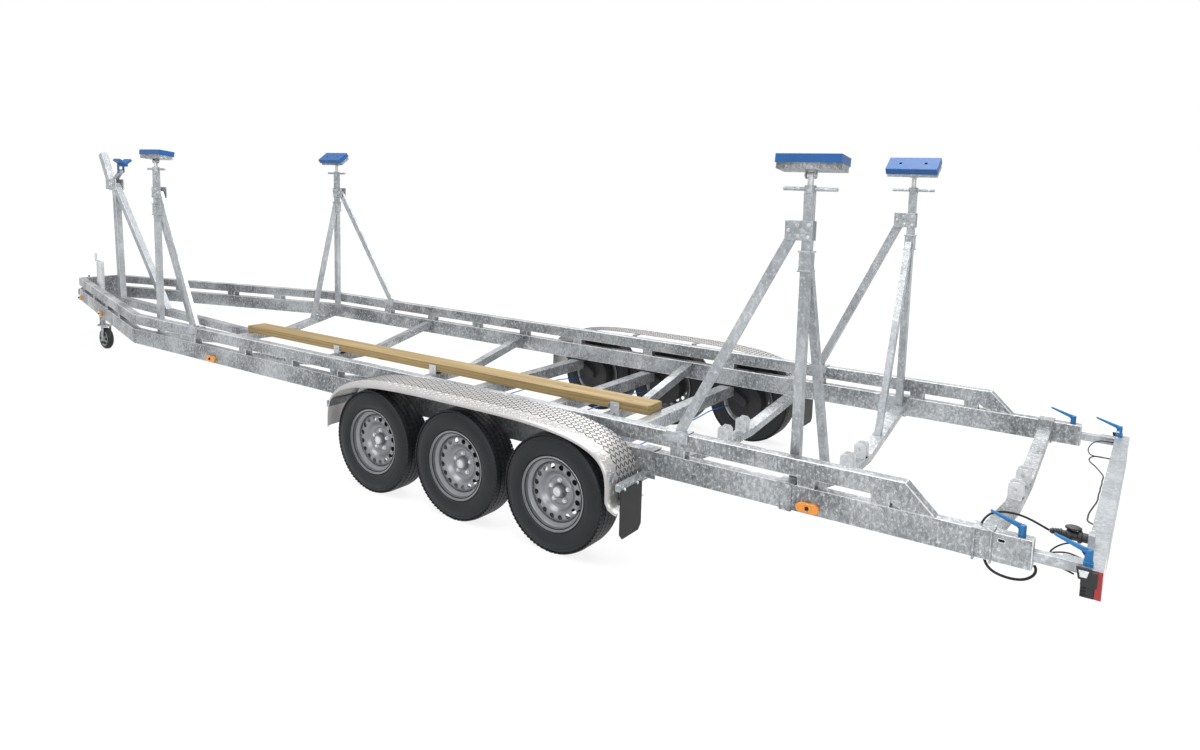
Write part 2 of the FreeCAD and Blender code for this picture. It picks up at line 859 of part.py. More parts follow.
def rim(side_word, side, word, station):
    """Steel rim: flanged barrel, pierced disc, studs, hub cap and the brake drum behind."""
    half = V.rim_half_width
    seat = V.rim_seat_radius
    inside = seat - V.rim_wall
    barrel = [
        (-half, V.rim_flange_radius), (-half, inside), (half, inside), (half, V.rim_flange_radius),
        (half - V.rim_wall, V.rim_flange_radius), (half - V.rim_wall, seat),
        (V.rim_wall - half, seat), (V.rim_wall - half, V.rim_flange_radius),
    ]
    outset = V.rim_disc_outset
    face = outset + V.disc_crown
    disc = [
        (outset, inside + 1),
        (face - V.rim_wall, V.disc_outer_radius), (face - V.rim_wall, V.disc_inner_radius),
        (outset - V.disc_dish, V.disc_bore_radius), (outset - V.disc_dish + V.rim_wall, V.disc_bore_radius),
        (face, V.disc_inner_radius), (face, V.disc_outer_radius), (outset + V.rim_wall, inside + 1),
    ]
    x = at(station)
    centre = (x, V.tyre_centre_y * side, V.axle_z)
    parts = [faceted(barrel, WHEEL_SIDES, "barrel", centre),
             faceted([(Size.of(y) * side, r) for y, r in disc], WHEEL_SIDES, "disc", centre)]

    def outward(sides, radius, low_y, length, dx=0, dz=0, name="prism"):
        start = V.tyre_centre_y + low_y
        low = (x + dx, start if side == LEFT else -(start + length), V.axle_z + dz)
        return prism(sides, radius, length, low, "y", name)

    holes = []
    for i in range(SIZES["rim_hole_count"]):
        turn = 2 * math.pi * i / SIZES["rim_hole_count"]
        holes.append(outward(6, V.rim_hole_radius, outset - V.disc_dish, V.disc_crown + V.disc_dish * 2,
                             V.rim_hole_circle * math.cos(turn), V.rim_hole_circle * math.sin(turn)))
    hub_y = outset - V.disc_dish
    extras = [outward(18, V.hub_cap_radius, hub_y, V.hub_cap_length, name="hub_cap")]
    for i in range(SIZES["stud_count"]):
        turn = 2 * math.pi * i / SIZES["stud_count"]
        extras.append(outward(6, V.stud_radius, hub_y, V.stud_length, V.stud_circle * math.cos(turn),
                              V.stud_circle * math.sin(turn), "stud"))
    drum_low = V.drum_inner_y - V.tyre_centre_y
    drum = outward(WHEEL_SIDES, V.drum_radius, drum_low, hub_y - drum_low, name="drum")
    socket_y = V.drum_inner_y if side == LEFT else -(V.drum_inner_y + V.stub_depth + V.slide_gap)
    socket = rod(V.stub_radius + V.bore_gap, V.stub_depth + V.slide_gap,
                 (x, socket_y, V.axle_z), "y", "socket")
    keep(cut(fuse([cut(fuse(parts), holes), drum] + extras), [socket]), f"rim_{side_word}_{word}")


GUARD_POWER = 4
GUARD_STEPS = 9


def guard_line(inset):
    """Side view of the mudguard from front end to rear end: a flat crown on two steepening ends."""
    line = []
    for way, reach, end_z in ((1, V.guard_front_reach, V.guard_front_end_z),
                              (-1, V.guard_rear_reach, V.guard_rear_end_z)):
        half = []
        for i in range(GUARD_STEPS + 1):
            turn = math.pi / 2 * i / GUARD_STEPS
            along = math.cos(turn) ** (2 / GUARD_POWER) if i < GUARD_STEPS else 0
            up = math.sin(turn) ** (2 / GUARD_POWER)
            half.append((at(0) + (reach - inset) * along * way,
                         end_z + (V.guard_crown_z - inset - end_z) * up))
        line += half if way > 0 else list(reversed(half))[1:]
    return line


def guard_under(along):
    """Height of the guard's inner line in front of the middle axle, within its crown's first step."""
    line = guard_line(V.guard_thick)
    (crown_x, crown_z), (next_x, next_z) = line[GUARD_STEPS], line[GUARD_STEPS - 1]
    return crown_z + (next_z - crown_z) * along / (next_x - crown_x)


def guard_inside(way, z):
    """Place along the trailer of the guard's inner line at a height within its end's second step."""
    line = guard_line(V.guard_thick)
    (low_x, low_z), (high_x, high_z) = (line[1], line[2]) if way > 0 else (line[-2], line[-3])
    return low_x + (high_x - low_x) * (z - low_z) / (high_z - low_z)


def guard_band(inset, depth, name, y):
    """Strip of the guard's curve, an inset deep, over a span across the trailer."""
    outline = guard_line(Size.of(0)) + list(reversed(guard_line(inset)))
    return pad(outline, depth, "XZ_Plane", (0, y, 0), name)


def mudguard(word, side):
    """Rolled tread-plate shell over the three wheels, with a turned-down outer skirt."""
    width = V.guard_outer_y - V.guard_inner_y
    shell_y = V.guard_outer_y if side == LEFT else -V.guard_inner_y
    skirt_y = V.guard_outer_y if side == LEFT else V.guard_thick - V.guard_outer_y
    keep(fuse([guard_band(V.guard_thick, width, "guard", shell_y),
               guard_band(V.guard_skirt, V.guard_thick, "skirt", skirt_y)]), "mudguard_" + word)


def mudguard_brackets():
    """Arms from the lower rail out to the inside of each guard's ends, and upright brackets at its crown."""
    parts = []
    thick = V.guard_bracket_thick
    shelf_z = guard_under(V.guard_bracket_st + V.guard_bracket_width / 2) - V.seat_gap
    for side in SIDES.values():
        for way in (1, -1):
            reach = V.guard_outer_y - V.guard_thick * 2 - V.rail_face
            arm_low_z = V.rail_low_z + V.guard_arm_height / 2
            seat_x = guard_inside(way, arm_low_z + V.guard_arm_height)
            middle_x = seat_x - (V.guard_arm_length / 2 + V.seat_gap) * way
            parts.append(box(around(middle_x, V.guard_arm_length), (V.rail_face, reach),
                             (arm_low_z, V.guard_arm_height), side, "guard_arm"))
        for station in (V.guard_bracket_st, -V.guard_bracket_st):
            span = around(at(station), V.guard_bracket_width)
            upright = box(span, (V.rail_face, thick), (TOP_RAIL_Z, shelf_z - TOP_RAIL_Z), side)
            shelf = box(span, (V.rail_face, (V.guard_outer_y + V.guard_inner_y) / 2 - V.rail_face),
                        (shelf_z - thick, thick), side)
            parts.append(fuse([upright, shelf]))
    keep(group(parts), "mudguard_brackets")


def mud_flaps():
    """Flat flap with its lower corners cut off, hung on the rear end of each guard."""
    flaps = []
    back = at(0) - V.guard_rear_reach - V.seat_gap
    top_z = V.guard_rear_end_z + V.flap_lap
    low_z = top_z - V.flap_height
    inner = V.guard_inner_y + V.guard_thick * 3
    outer = inner + V.flap_width
    outline = [
        (inner, top_z), (inner, low_z + V.flap_corner), (inner + V.flap_corner, low_z),
        (outer - V.flap_corner, low_z), (outer, low_z + V.flap_corner), (outer, top_z),
    ]
    for side in SIDES.values():
        flaps.append(pad([(y * side, z) for y, z in outline], V.flap_thick, "YZ_Plane",
                         (back - V.flap_thick, 0, 0), "flap"))
    keep(group(flaps), "mud_flaps")


def lay(thing, turn_axis, degrees, centre):
    """Turn a finished piece about a line through a point."""
    point = FreeCAD.Vector(*[number(c) for c in centre])
    turn = FreeCAD.Rotation(turn_axis, degrees)
    thing.Placement = FreeCAD.Placement(point - turn.multVec(point), turn)
    return thing


def brace_saddle(x, side):
    """Inverted U over the upper rail under a brace's foot."""
    thick = V.brace_saddle_thick
    span = around(x, V.brace_saddle_length)
    top_z = RAIL_TOP_Z + V.seat_gap
    parts = [box(span, (RAIL_INNER - V.seat_gap - thick, V.rail_width + V.seat_gap * 2 + thick * 2),
                 (top_z, thick), side, "brace_saddle")]
    for low_y in (RAIL_INNER - V.seat_gap - thick, V.rail_face + V.seat_gap):
        parts.append(box(span, (low_y, thick), (top_z - V.brace_saddle_drop, V.brace_saddle_drop), side))
    return parts


def stand(end_word, side_word, side, carrier, brace_way, reach_x, reach_y):
    """Square post with two braces, their clamps, and the turning bar's nut on its top.

    The carrier gives the cross member's end height, middle height and flat half-length.
    """
    x = at(STAND_STATIONS[end_word])
    y = V.stand_y * side
    end_z, low_z, flat_half = carrier
    half = V.post_side / 2
    foot_z = cross_top(V.stand_y - half, end_z, low_z, flat_half)
    raised = (end_z + V.seat_gap, low_z + V.seat_gap, flat_half)
    under = cross_bar(STAND_STATIONS[end_word], *raised, V.cross_height * 2, V.cross_width * 2, "bar_space")
    post = box(around(x, V.post_side), around(y, V.post_side), (foot_z, V.post_top_z - foot_z))
    parts = [post, box(around(x, V.sleeve_side), around(y, V.sleeve_side),
                       (V.sleeve_low_z, V.sleeve_height), name="sleeve")]
    for rim_z in (V.sleeve_low_z, V.sleeve_low_z + V.sleeve_height - V.sleeve_rim_height):
        parts.append(box(around(x, V.sleeve_rim), around(y, V.sleeve_rim), (rim_z, V.sleeve_rim_height)))
    clamp_low = half + V.clamp_thick
    clamp_length = clamp_low + half + V.clamp_reach
    clamp_x = x - clamp_low if brace_way > 0 else x + clamp_low - clamp_length
    for low_y in (y + half, y - half - V.clamp_thick):
        parts.append(box((clamp_x, clamp_length), (low_y, V.clamp_thick),
                         (V.clamp_low_z, V.clamp_height), name="clamp"))
    top = (x + (half + V.clamp_reach / 2) * brace_way, y, V.clamp_low_z + V.clamp_height / 2)
    foot = (x + reach_x * brace_way, RAIL_MIDDLE * side, RAIL_TOP_Z)
    rail_space = box(around(foot[0], V.brace_saddle_length), (RAIL_INNER, V.rail_width),
                     (TOP_RAIL_Z, V.rail_top_height + V.seat_gap), side)
    parts.append(cut(strut(foot, top, V.brace_thick, V.brace_width, "brace"), [rail_space]))
    parts += brace_saddle(foot[0], side)
    across_top = (x, (V.stand_y - half) * side, V.sleeve_low_z + V.sleeve_height / 2)
    across_y = V.stand_y - reach_y
    across_foot = (x, across_y * side, cross_top(across_y, end_z, low_z, flat_half) - V.side_brace_side)
    parts.append(strut(across_foot, across_top, V.side_brace_side, V.side_brace_side, "brace"))
    parts.append(prism(6, V.nut_radius, V.nut_height, (x, y, V.post_top_z), name="nut"))
    parts.append(prism(8, V.bar_radius, V.bar_half_length * 2,
                       (x - V.bar_half_length, y, V.post_top_z + V.nut_height / 2), "x", "turning_bar"))
    bore_side = V.post_side - V.post_wall * 2
    bore = box(around(x, bore_side), around(y, bore_side),
               (V.post_bore_low_z, V.post_top_z - V.post_bore_low_z))
    thread = prism(16, V.screw_radius + V.bore_gap, V.nut_height * 2,
                   (x, y, V.post_top_z - V.nut_height / 2), name="thread")
    keep(cut(fuse(parts), [bore, thread, under]), f"stand_{end_word}_{side_word}")


def pin_height(side):
    """Height of a pad's pin; the right-hand screws are wound further out."""
    return V.pin_z + (V.right_screw_raise if side == RIGHT else 0)


def pad_screw(end_word, side_word, side):
    """Screw that rises out of the post, with the eye and pin that carry the pad."""
    x = at(STAND_STATIONS[end_word])
    y = V.stand_y * side
    pin_z = pin_height(side)
    screw_low_z = pin_z - V.screw_length
    screw = prism(16, V.screw_radius, V.screw_length, (x, y, screw_low_z), name="screw")
    eye = prism(12, V.eye_radius, V.eye_half_length * 2, (x - V.eye_half_length, y, pin_z), "x", "eye")
    pin_half = V.eye_half_length + V.lug_gap + V.lug_thick * 2
    pin = rod(V.pin_radius, pin_half * 2, (x - pin_half, y, pin_z), "x", "pin")
    keep(fuse([screw, eye, pin]), f"pad_screw_{end_word}_{side_word}")


def hull_pad(end_word, side_word, side):
    """Pad with two bolt holes on a steel channel with two lugs, leaning inwards on the screw's pin."""
    x = at(STAND_STATIONS[end_word])
    y = V.stand_y * side
    pin_z = pin_height(side)
    channel_z = pin_z + V.pad_channel_rise
    channel = box(around(x, V.pad_channel_half_length * 2), around(y, V.pad_channel_half_width * 2),
                  (channel_z, V.pad_channel_height), name="pad_channel")
    pad_z = channel_z + V.pad_channel_height
    block = box(around(x, V.pad_half_length * 2), around(y, V.pad_half_width * 2),
                (pad_z, V.pad_thick), name="pad_block")
    holes = [prism(10, V.pad_hole_radius, V.pad_thick,
                   (x + V.pad_hole_offset * way, y, pad_z + V.pad_thick / 2)) for way in (1, -1)]
    lugs = []
    for way in (1, -1):
        near = V.eye_half_length + V.lug_gap
        low_x = x + near if way > 0 else x - near - V.lug_thick
        lugs.append(box((low_x, V.lug_thick), around(y, V.lug_half_width * 2),
                        (pin_z, V.pad_channel_rise), name="lug"))
        lugs.append(prism(16, V.lug_half_width, V.lug_thick, (low_x, y, pin_z), "x", "lug_round"))
    hole_half = V.pad_half_width
    pin_hole = rod(V.pin_radius + V.bore_gap, hole_half * 2, (x - hole_half, y, pin_z), "x", "pin_hole")
    head = cut(fuse([channel, block] + lugs), [pin_hole] + holes)
    lay(head, FreeCAD.Vector(1, 0, 0), SIZES[f"{side_word}_pad_tilt"] * side, (x, y, pin_z))
    keep(head, f"hull_pad_{end_word}_{side_word}")


def bow_stand():
    """Two legs in line with the keel, a bolted clamp at their apex and the inclined rest tube."""
    middle = Size.of(0)
    apex = (from_nose(V.bow_apex_back), middle, V.bow_apex_z)
    legs = []
    for back in (V.bow_front_foot_back, V.bow_rear_foot_back):
        foot = (from_nose(back), middle, beam_top(back) - V.bow_tube)
        legs.append(strut(foot, apex, V.bow_tube, V.bow_tube, "bow_leg"))
    beam_space = pad([
        (from_nose(V.nose_beam_length), beam_top(V.nose_beam_length) + V.seat_gap),
        (from_nose(V.nose_beam_length), beam_top(V.nose_beam_length) - V.beam_height * 2),
        (from_nose(V.bow_rear_foot_back * 1.2), beam_top(V.bow_rear_foot_back * 1.2) - V.beam_height * 2),
        (from_nose(V.bow_rear_foot_back * 1.2), beam_top(V.bow_rear_foot_back * 1.2) + V.seat_gap),
    ], V.beam_half * 2, "XZ_Plane", (0, V.beam_half, 0), "beam_space")
    rest = strut((from_nose(V.bow_rest_foot_back), middle, V.bow_rest_foot_z),
                 (from_nose(V.bow_rest_top_back), middle, V.bow_rest_top_z),
                 V.bow_rest_tube, V.bow_rest_tube, "rest_tube")
    cheek_x = from_nose(V.bow_apex_back + V.bow_clamp_back)
    cheeks = [box((cheek_x, V.bow_clamp_length), (V.bow_rest_tube / 2, V.bow_clamp_wall),
                  around(V.bow_apex_z, V.bow_clamp_height), side, "apex_clamp") for side in SIDES.values()]
    knob = prism(8, V.bow_knob_radius, V.bow_clamp_wall * 2,
                 (cheek_x + V.bow_clamp_length / 2, V.bow_rest_tube / 2 + V.bow_clamp_wall, V.bow_apex_z),
                 "y", "clamp_knob")
    pin_x = from_nose(V.bow_pad_back) + V.bow_pin_offset
    arm = strut((from_nose(V.bow_rest_foot_back), middle, V.bow_rest_foot_z + V.bow_rest_tube),
                (pin_x, middle, V.bow_pin_z), V.bow_eye_half * 2, V.bow_eye_radius * 2, "cradle_arm")
    eye = rod(V.bow_eye_radius, V.bow_eye_half * 2, (pin_x, -V.bow_eye_half, V.bow_pin_z), "y", "cradle_eye")
    pin_half = V.bow_eye_half + V.bow_lug_gap + V.bow_lug_thick * 2
    pin = rod(V.bow_pin_radius, pin_half * 2, (pin_x, -pin_half, V.bow_pin_z), "y", "cradle_pin")
    keep(cut(fuse(legs + cheeks + [rest, knob, arm, eye, pin]), [beam_space]), "bow_stand")


def bow_pad():
    """V pad for the stem, between two lugs that hang on the cradle's pin."""
    x = from_nose(V.bow_pad_back)
    middle = Size.of(0)
    lug_low = V.bow_eye_half + V.bow_lug_gap
    bed_half = lug_low + V.bow_lug_thick
    parts = [box(around(x, V.bow_pad_length * 0.8), around(0, bed_half * 2),
                 (V.bow_pad_z - V.bow_pad_thick, V.bow_pad_thick), name="bow_bed")]
    for side in SIDES.values():
        parts.append(strut((x, middle, V.bow_pad_z),
                           (x, V.bow_pad_wing * side, V.bow_pad_z + V.bow_pad_rise),
                           V.bow_pad_length, V.bow_pad_thick, "bow_pad_wing"))
        parts.append(box(around(x + V.bow_pin_offset, V.bow_eye_radius * 2), (lug_low, V.bow_lug_thick),
                         (V.bow_pin_z, V.bow_pad_z - V.bow_pin_z), side, "cradle_lug"))
        low = lug_low if side == LEFT else -bed_half
        parts.append(rod(V.bow_eye_radius, V.bow_lug_thick, (x + V.bow_pin_offset, low, V.bow_pin_z), "y"))
    hole = rod(V.bow_pin_radius + V.bore_gap, bed_half * 4,
               (x + V.bow_pin_offset, bed_half * -2, V.bow_pin_z), "y")
    keep(cut(fuse(parts), [hole]), "bow_pad")


JOCKEY_Y = v_face(V.jockey_back) - v_inset(V.rail_width) - V.jockey_wall_gap - V.jockey_outer_radius


def jockey():
    """Tube clamped to the left V rail with its crank, and the swivel fork and wheel below."""
    x = from_nose(V.jockey_back)
    y = JOCKEY_Y
    height = V.jockey_top_z - V.jockey_low_z
    outer = rod(V.jockey_outer_radius, height, (x, y, V.jockey_low_z))
    bore = rod(V.jockey_inner_radius + V.bore_gap, height - V.jockey_outer_radius,
               (x, y, V.jockey_low_z))
    crank = box((x - V.crank_side, V.crank_length), around(y, V.crank_side),
                (V.jockey_top_z, V.crank_side), name="crank")
    knob = prism(12, V.crank_side, V.crank_knob_height,
                 (x + V.crank_length - V.crank_side * 2, y, V.jockey_top_z + V.crank_side), name="crank_knob")
    half = V.jockey_clamp_length / 2
    back_y = v_face(V.jockey_back + half) - v_inset(V.rail_width) - V.seat_gap
    front_y = v_face(V.jockey_back - half) - v_inset(V.rail_width) - V.seat_gap
    clamp = pad([(x - half, y), (x - half, back_y), (x + half, front_y), (x + half, y)],
                V.jockey_clamp_height, at_point=(0, 0, V.jockey_clamp_z), name="jockey_clamp")
    keep(cut(fuse([outer, crank, knob, clamp]), [bore]), "jockey_tube")
    wheel_x = x - V.jockey_trail
    inner_low = V.jockey_crown_z
    inner = rod(V.jockey_inner_radius, V.jockey_clamp_z + V.jockey_clamp_height - inner_low,
                (x, y, inner_low))
    half = V.jockey_fork_half
    crown = box((wheel_x - V.jockey_inner_radius, V.jockey_trail + V.jockey_inner_radius * 2),
                around(y, half * 2), (inner_low, V.jockey_fork_thick * 3), name="fork_crown")
    cheek_low = V.jockey_wheel_radius - V.jockey_pin_radius * 2
    cheeks = [box(around(wheel_x, V.jockey_inner_radius * 1.5), (low_y, V.jockey_fork_thick),
                  (cheek_low, inner_low - cheek_low)) for low_y in (y + half - V.jockey_fork_thick, y - half)]
    pin = rod(V.jockey_pin_radius, half * 2, (wheel_x, y - half, V.jockey_wheel_radius), "y")
    keep(fuse([inner, crown, pin] + cheeks), "jockey_fork")
    core = V.jockey_pin_radius / 2
    rubber = V.jockey_wheel_half
    tread = V.jockey_wheel_half * 0.45
    wheel = faceted([(-rubber, core), (rubber, core), (rubber, V.jockey_wheel_radius * 0.88),
                    (tread, V.jockey_wheel_radius), (-tread, V.jockey_wheel_radius),
                    (-rubber, V.jockey_wheel_radius * 0.88)],
                    24, "jockey_ring", (wheel_x, y, V.jockey_wheel_radius))
    bore = rod(V.jockey_pin_radius + V.bore_gap, rubber * 4,
               (wheel_x, y - rubber * 2, V.jockey_wheel_radius), "y")
    keep(cut(wheel, [bore]), "jockey_wheel")


def coupling():
    """Overrun housing on the nose with its gaiter and draw tube, and the ball coupling in front."""
    nose = at(V.nose_st)
    head = at(V.nose_st + V.coupling_reach)
    housing = box((nose, V.housing_length), around(0, V.housing_side),
                  (V.coupling_z - V.housing_side / 2, V.housing_side), name="housing")
    folds = []
    step = V.gaiter_length / SIZES["gaiter_folds"]
    for i in range(SIZES["gaiter_folds"]):
        start = nose + V.housing_length + step * i
        folds.append(prism(16, V.gaiter_radius, step / 2, (start, 0, V.coupling_z), "x", "fold"))
        folds.append(prism(16, V.gaiter_root, step / 2, (start + step / 2, 0, V.coupling_z), "x", "root"))
    tube_length = V.coupling_reach - V.housing_length - V.coupling_nose * 3
    tube = prism(16, V.draw_tube_radius, tube_length,
                 (nose + V.housing_length, 0, V.coupling_z), "x", "draw_tube")
    pivot = nose + V.housing_length / 3
    lever_y = V.housing_side / 2 + V.guard_bracket_thick
    lever = strut((pivot, lever_y, V.coupling_z),
                  (pivot + V.brake_lever_length / 3, lever_y, V.coupling_z + V.brake_lever_length),
                  V.guard_bracket_thick * 2, V.bar_radius * 2, "brake_lever")
    keep(fuse([housing, tube, lever] + folds), "overrun_housing")
    low_z = V.coupling_z - V.coupling_socket_depth
    ball_x = head - V.coupling_nose
    cup = rod(V.coupling_nose, V.coupling_socket_depth * 1.5, (ball_x, 0, low_z), name="cup")
    neck = box((head - V.coupling_nose * 3, V.coupling_nose * 2), around(0, V.draw_tube_radius * 2.2),
               around(V.coupling_z, V.draw_tube_radius * 2.2), name="neck")
    handle = strut((ball_x, Size.of(0), V.coupling_z + V.draw_tube_radius),
                   (head - V.coupling_nose * 4.5, Size.of(0), V.coupling_z + V.draw_tube_radius * 2.6),
                   V.draw_tube_radius, V.draw_tube_radius / 2, "handle")
    socket = rod(V.coupling_ball_radius, V.coupling_socket_depth, (ball_x, 0, low_z))
    keep(cut(fuse([cup, neck, handle]), [socket]), "coupling_head")


def light_bar():
    """Bar across the back: channel, lamp board and top plate, on two arms that slide out of the rails."""
    front = at(V.bar_front_st)
    rear = at(V.board_rear_st)
    depth = front - rear
    top = box((rear, depth), (-BAR_HALF, BAR_HALF * 2), (BAR_UNDER_Z, V.bar_wall), name="top_plate")
    span = (-BAR_CHANNEL_HALF, BAR_CHANNEL_HALF * 2)
    web = box((front - V.bar_wall, V.bar_wall), span, (V.bar_top_z - V.bar_height, V.bar_height))
    lip = box((at(V.board_front_st), V.bar_front_st - V.board_front_st), span,
              (V.bar_top_z - V.bar_height, V.bar_wall), name="bottom_lip")
    board = box((rear, V.bar_wall), span, (V.bar_top_z - V.board_height, V.board_height), name="lamp_board")
    parts = [top, web, lip, board]
    for side in SIDES.values():
        arm_length = V.rear_end_st - V.bar_front_st + V.arm_inside
        arm_z = (BAR_UNDER_Z - V.arm_side, V.arm_side)
        parts.append(box((front, arm_length), around(RAIL_MIDDLE, V.arm_side), arm_z, side, "slide_arm"))
        parts.append(box((front, V.arm_tab_length), around(RAIL_MIDDLE, V.arm_side * 1.5),
                         (BAR_UNDER_Z, V.bar_wall), side, "arm_tab"))
    parts.append(box((front - V.socket_half, V.socket_half), around(V.plug_y, V.socket_half * 2),
                     (V.bar_top_z, V.plug_z + V.socket_half - V.bar_top_z), name="socket"))
    keep(fuse(parts), "light_bar")


def tail_lamps():
    """Lamp housings under the bar's ends, side lamps on them, and the lead's parked coupler."""
    housings = []
    lenses = []
    top_z = BAR_UNDER_Z - V.seat_gap
    front = at(V.board_front_st) + V.lamp_depth / 2
    for side in SIDES.values():
        y = (BAR_HALF - V.lamp_length, V.lamp_length)
        inner = (BAR_HALF - V.lamp_length, RAIL_MIDDLE - V.arm_side - BAR_HALF + V.lamp_length)
        back = at(V.board_rear_st) + V.lens_depth
        drop_z = BAR_UNDER_Z - V.arm_side - V.seat_gap
        body = box((back, front - back), y, (drop_z + V.arm_side - V.lamp_height, V.lamp_height - V.arm_side),
                   side, "lamp")
        top = box((back, at(V.bar_front_st) - back - V.seat_gap), y, (drop_z, top_z - drop_z), side)
        housings.append(fuse([body, top]))
        lens_low = drop_z + V.arm_side - V.lamp_height
        lenses.append(box((at(V.board_rear_st), V.lens_depth - V.seat_gap), y,
                          (lens_low, top_z - lens_low), side, "lens"))
        housings.append(box((front - V.side_lamp_length, V.side_lamp_length),
                            (BAR_HALF + V.seat_gap, V.side_lamp_depth),
                            (top_z - V.side_lamp_height, V.side_lamp_height), side, "side_lamp"))
    keep(group(housings), "tail_lamps")
    keep(group(lenses), "tail_lenses")


def marker(x, y, turn=0):
    """Stadium-shaped side marker lamp that stands off a face, turned about the vertical."""
    end = V.marker_height / 2
    straight = V.marker_length - V.marker_height
    low_x = x - straight / 2
    parts = [box((low_x, straight), (y, V.marker_depth), around(V.marker_z + end, V.marker_height))]
    for step in (low_x, low_x + straight):
        parts.append(prism(12, end, V.marker_depth, (step, y, V.marker_z + end), "y", "marker_end"))
    return lay(fuse(parts), FreeCAD.Vector(0, 0, 1), turn, (x, y, V.marker_z))


def marker_lamps():
    lamps = []
    slant = math.degrees(math.atan(number(v_slope())))
    for side in SIDES.values():
        spots = [(at(V.front_marker_st), V.rail_face, 0), (at(V.rear_marker_st), V.rail_face, 0)]
        for back in (V.v_marker_back, V.nose_lamp_back + V.marker_length / 2):
            spots.append((from_nose(back), v_face(back) + V.seat_gap, -slant))
        for x, y, turn in spots:
            if side == LEFT:
                lamps.append(marker(x, y, turn))
            else:
                lamps.append(lay_right(marker(x, -(y + V.marker_depth)), -turn, (x, -y, V.marker_z)))
    keep(group(lamps), "marker_lamps")


def lay_right(thing, degrees, centre):
    return lay(thing, FreeCAD.Vector(0, 0, 1), degrees, centre)


def lever(x, y, z, side):
    """Clamping lever: a hub and a tapered grip that points forward and rises to its tip."""
    top = Size.of(z) + V.lever_hub_height
    hub = prism(12, V.lever_hub_radius, V.lever_hub_height, (x, Size.of(y) * side, z), name="lever_hub")
    outline = [
        (x, top - V.lever_root_height), (x + V.lever_reach, top + V.lever_rise - V.lever_tip_height),
        (x + V.lever_reach, top + V.lever_rise), (x, top),
    ]
    grip = pad(outline, V.lever_thick, "XZ_Plane", (0, Size.of(y) * side + V.lever_thick / 2, 0), "grip")
    return fuse([hub, grip])


def levers():
    rail_x = at(V.rear_end_st) + V.rail_lever_inset
    keep(group([lever(rail_x, RAIL_MIDDLE, CHANNEL_Z, side) for side in SIDES.values()]), "rail_levers")
    bar_x = at(V.bar_front_st) - V.lever_block / 2
    bar_y = BAR_HALF - V.bar_lever_inset
    parts = []
    for side in SIDES.values():
        block = box(around(bar_x, V.lever_block), around(bar_y, V.lever_block),
                    (V.bar_top_z, V.lever_block_height), side, "lever_block")
        parts.append(fuse([block, lever(bar_x, bar_y, V.bar_top_z + V.lever_block_height, side)]))
    keep(group(parts), "bar_levers")


LEAD_SIDES = 8
MAIN_CABLE = (
    (-2606, 957, 563.8), (-2611, 948, 580), (-2632, 930, 604), (-2664, 907, 612), (-2699, 884, 608),
    (-2734, 861, 598), (-2768, 838, 581), (-2800, 813, 559), (-2828.5, 791, 539),
)
LOOP_CABLE = (
    (-2626, 970, 433), (-2634, 972, 408), (-2660, 971, 385), (-2697, 968, 374), (-2740, 970, 374),
    (-2778, 972, 385), (-2806, 971, 408), (-2815, 969, 436), (-2806, 970, 450),
)
LAMP_CABLE = (
    (-2812, 958, 467), (-2836, 955, 463), (-2868, 951, 465), (-2900, 949, 459), (-2939, 950, 447),
)
BAR_CABLE = (
    (-2966.2, -569, 496), (-2930, -564, 500), (-2893, -545, 503), (-2878, -508, 501), (-2877, -462, 499),
    (-2891, -415, 500), (-2912, -366, 502), (-2933, -310, 499), (-2951, -256, 498), (-2960, -200, 501),
    (-2957, -142, 503), (-2960, -84, 500), (-2957, -26, 498), (-2960, 32, 501), (-2957, 90, 503),
    (-2960, 148, 500), (-2957, 206, 498), (-2952, 262, 501), (-2947, 318, 503), (-2940, 374, 500),
    (-2940, 430, 497), (-2942, 482, 500), (-2963.9, 510, 503),
)


def lead_section(points, radius):
    """Eight-sided outline square to the lead's first run."""
    along = (points[1] - points[0]).normalize()
    across = FreeCAD.Vector(0, 0, 1).cross(along).normalize()
    other = along.cross(across)
    ring = []
    for step in range(LEAD_SIDES):
        turn = 2 * math.pi * step / LEAD_SIDES
        ring.append(points[0] + across * (radius * math.cos(turn)) + other * (radius * math.sin(turn)))
    return Part.makePolygon(ring + ring[:1])


def cable(corners, radius, node):
    """Round lead of straight runs and tangent arcs through corners counted from the middle axle."""
    points = [FreeCAD.Vector(x, y, z) for x, y, z in corners]
    edges = []
    start = points[0]
    for before, corner, after in zip(points, points[1:], points[2:]):
        back = before - corner
        onward = after - corner
        reach = 0.45 * min(back.Length, onward.Length)
        half_turn = (math.pi - back.getAngle(onward)) / 2
        bend = reach / math.tan(half_turn)
        back.normalize()
        onward.normalize()
        inward = back + onward
        inward.normalize()
        middle = corner + inward * (bend / math.cos(half_turn) - bend)
        first = corner + back * reach
        last = corner + onward * reach
        edges.append(Part.LineSegment(start, first).toShape())
        edges.append(Part.Arc(first, middle, last).toShape())
        start = last
    edges.append(Part.LineSegment(start, points[-1]).toShape())
    path = Part.Wire(edges)
    lead = doc.addObject("Part::Feature", node)
    lead.Shape = path.makePipeShell([lead_section(points, number(radius))], True, False)
    keep(place(lead, at(0)), node)


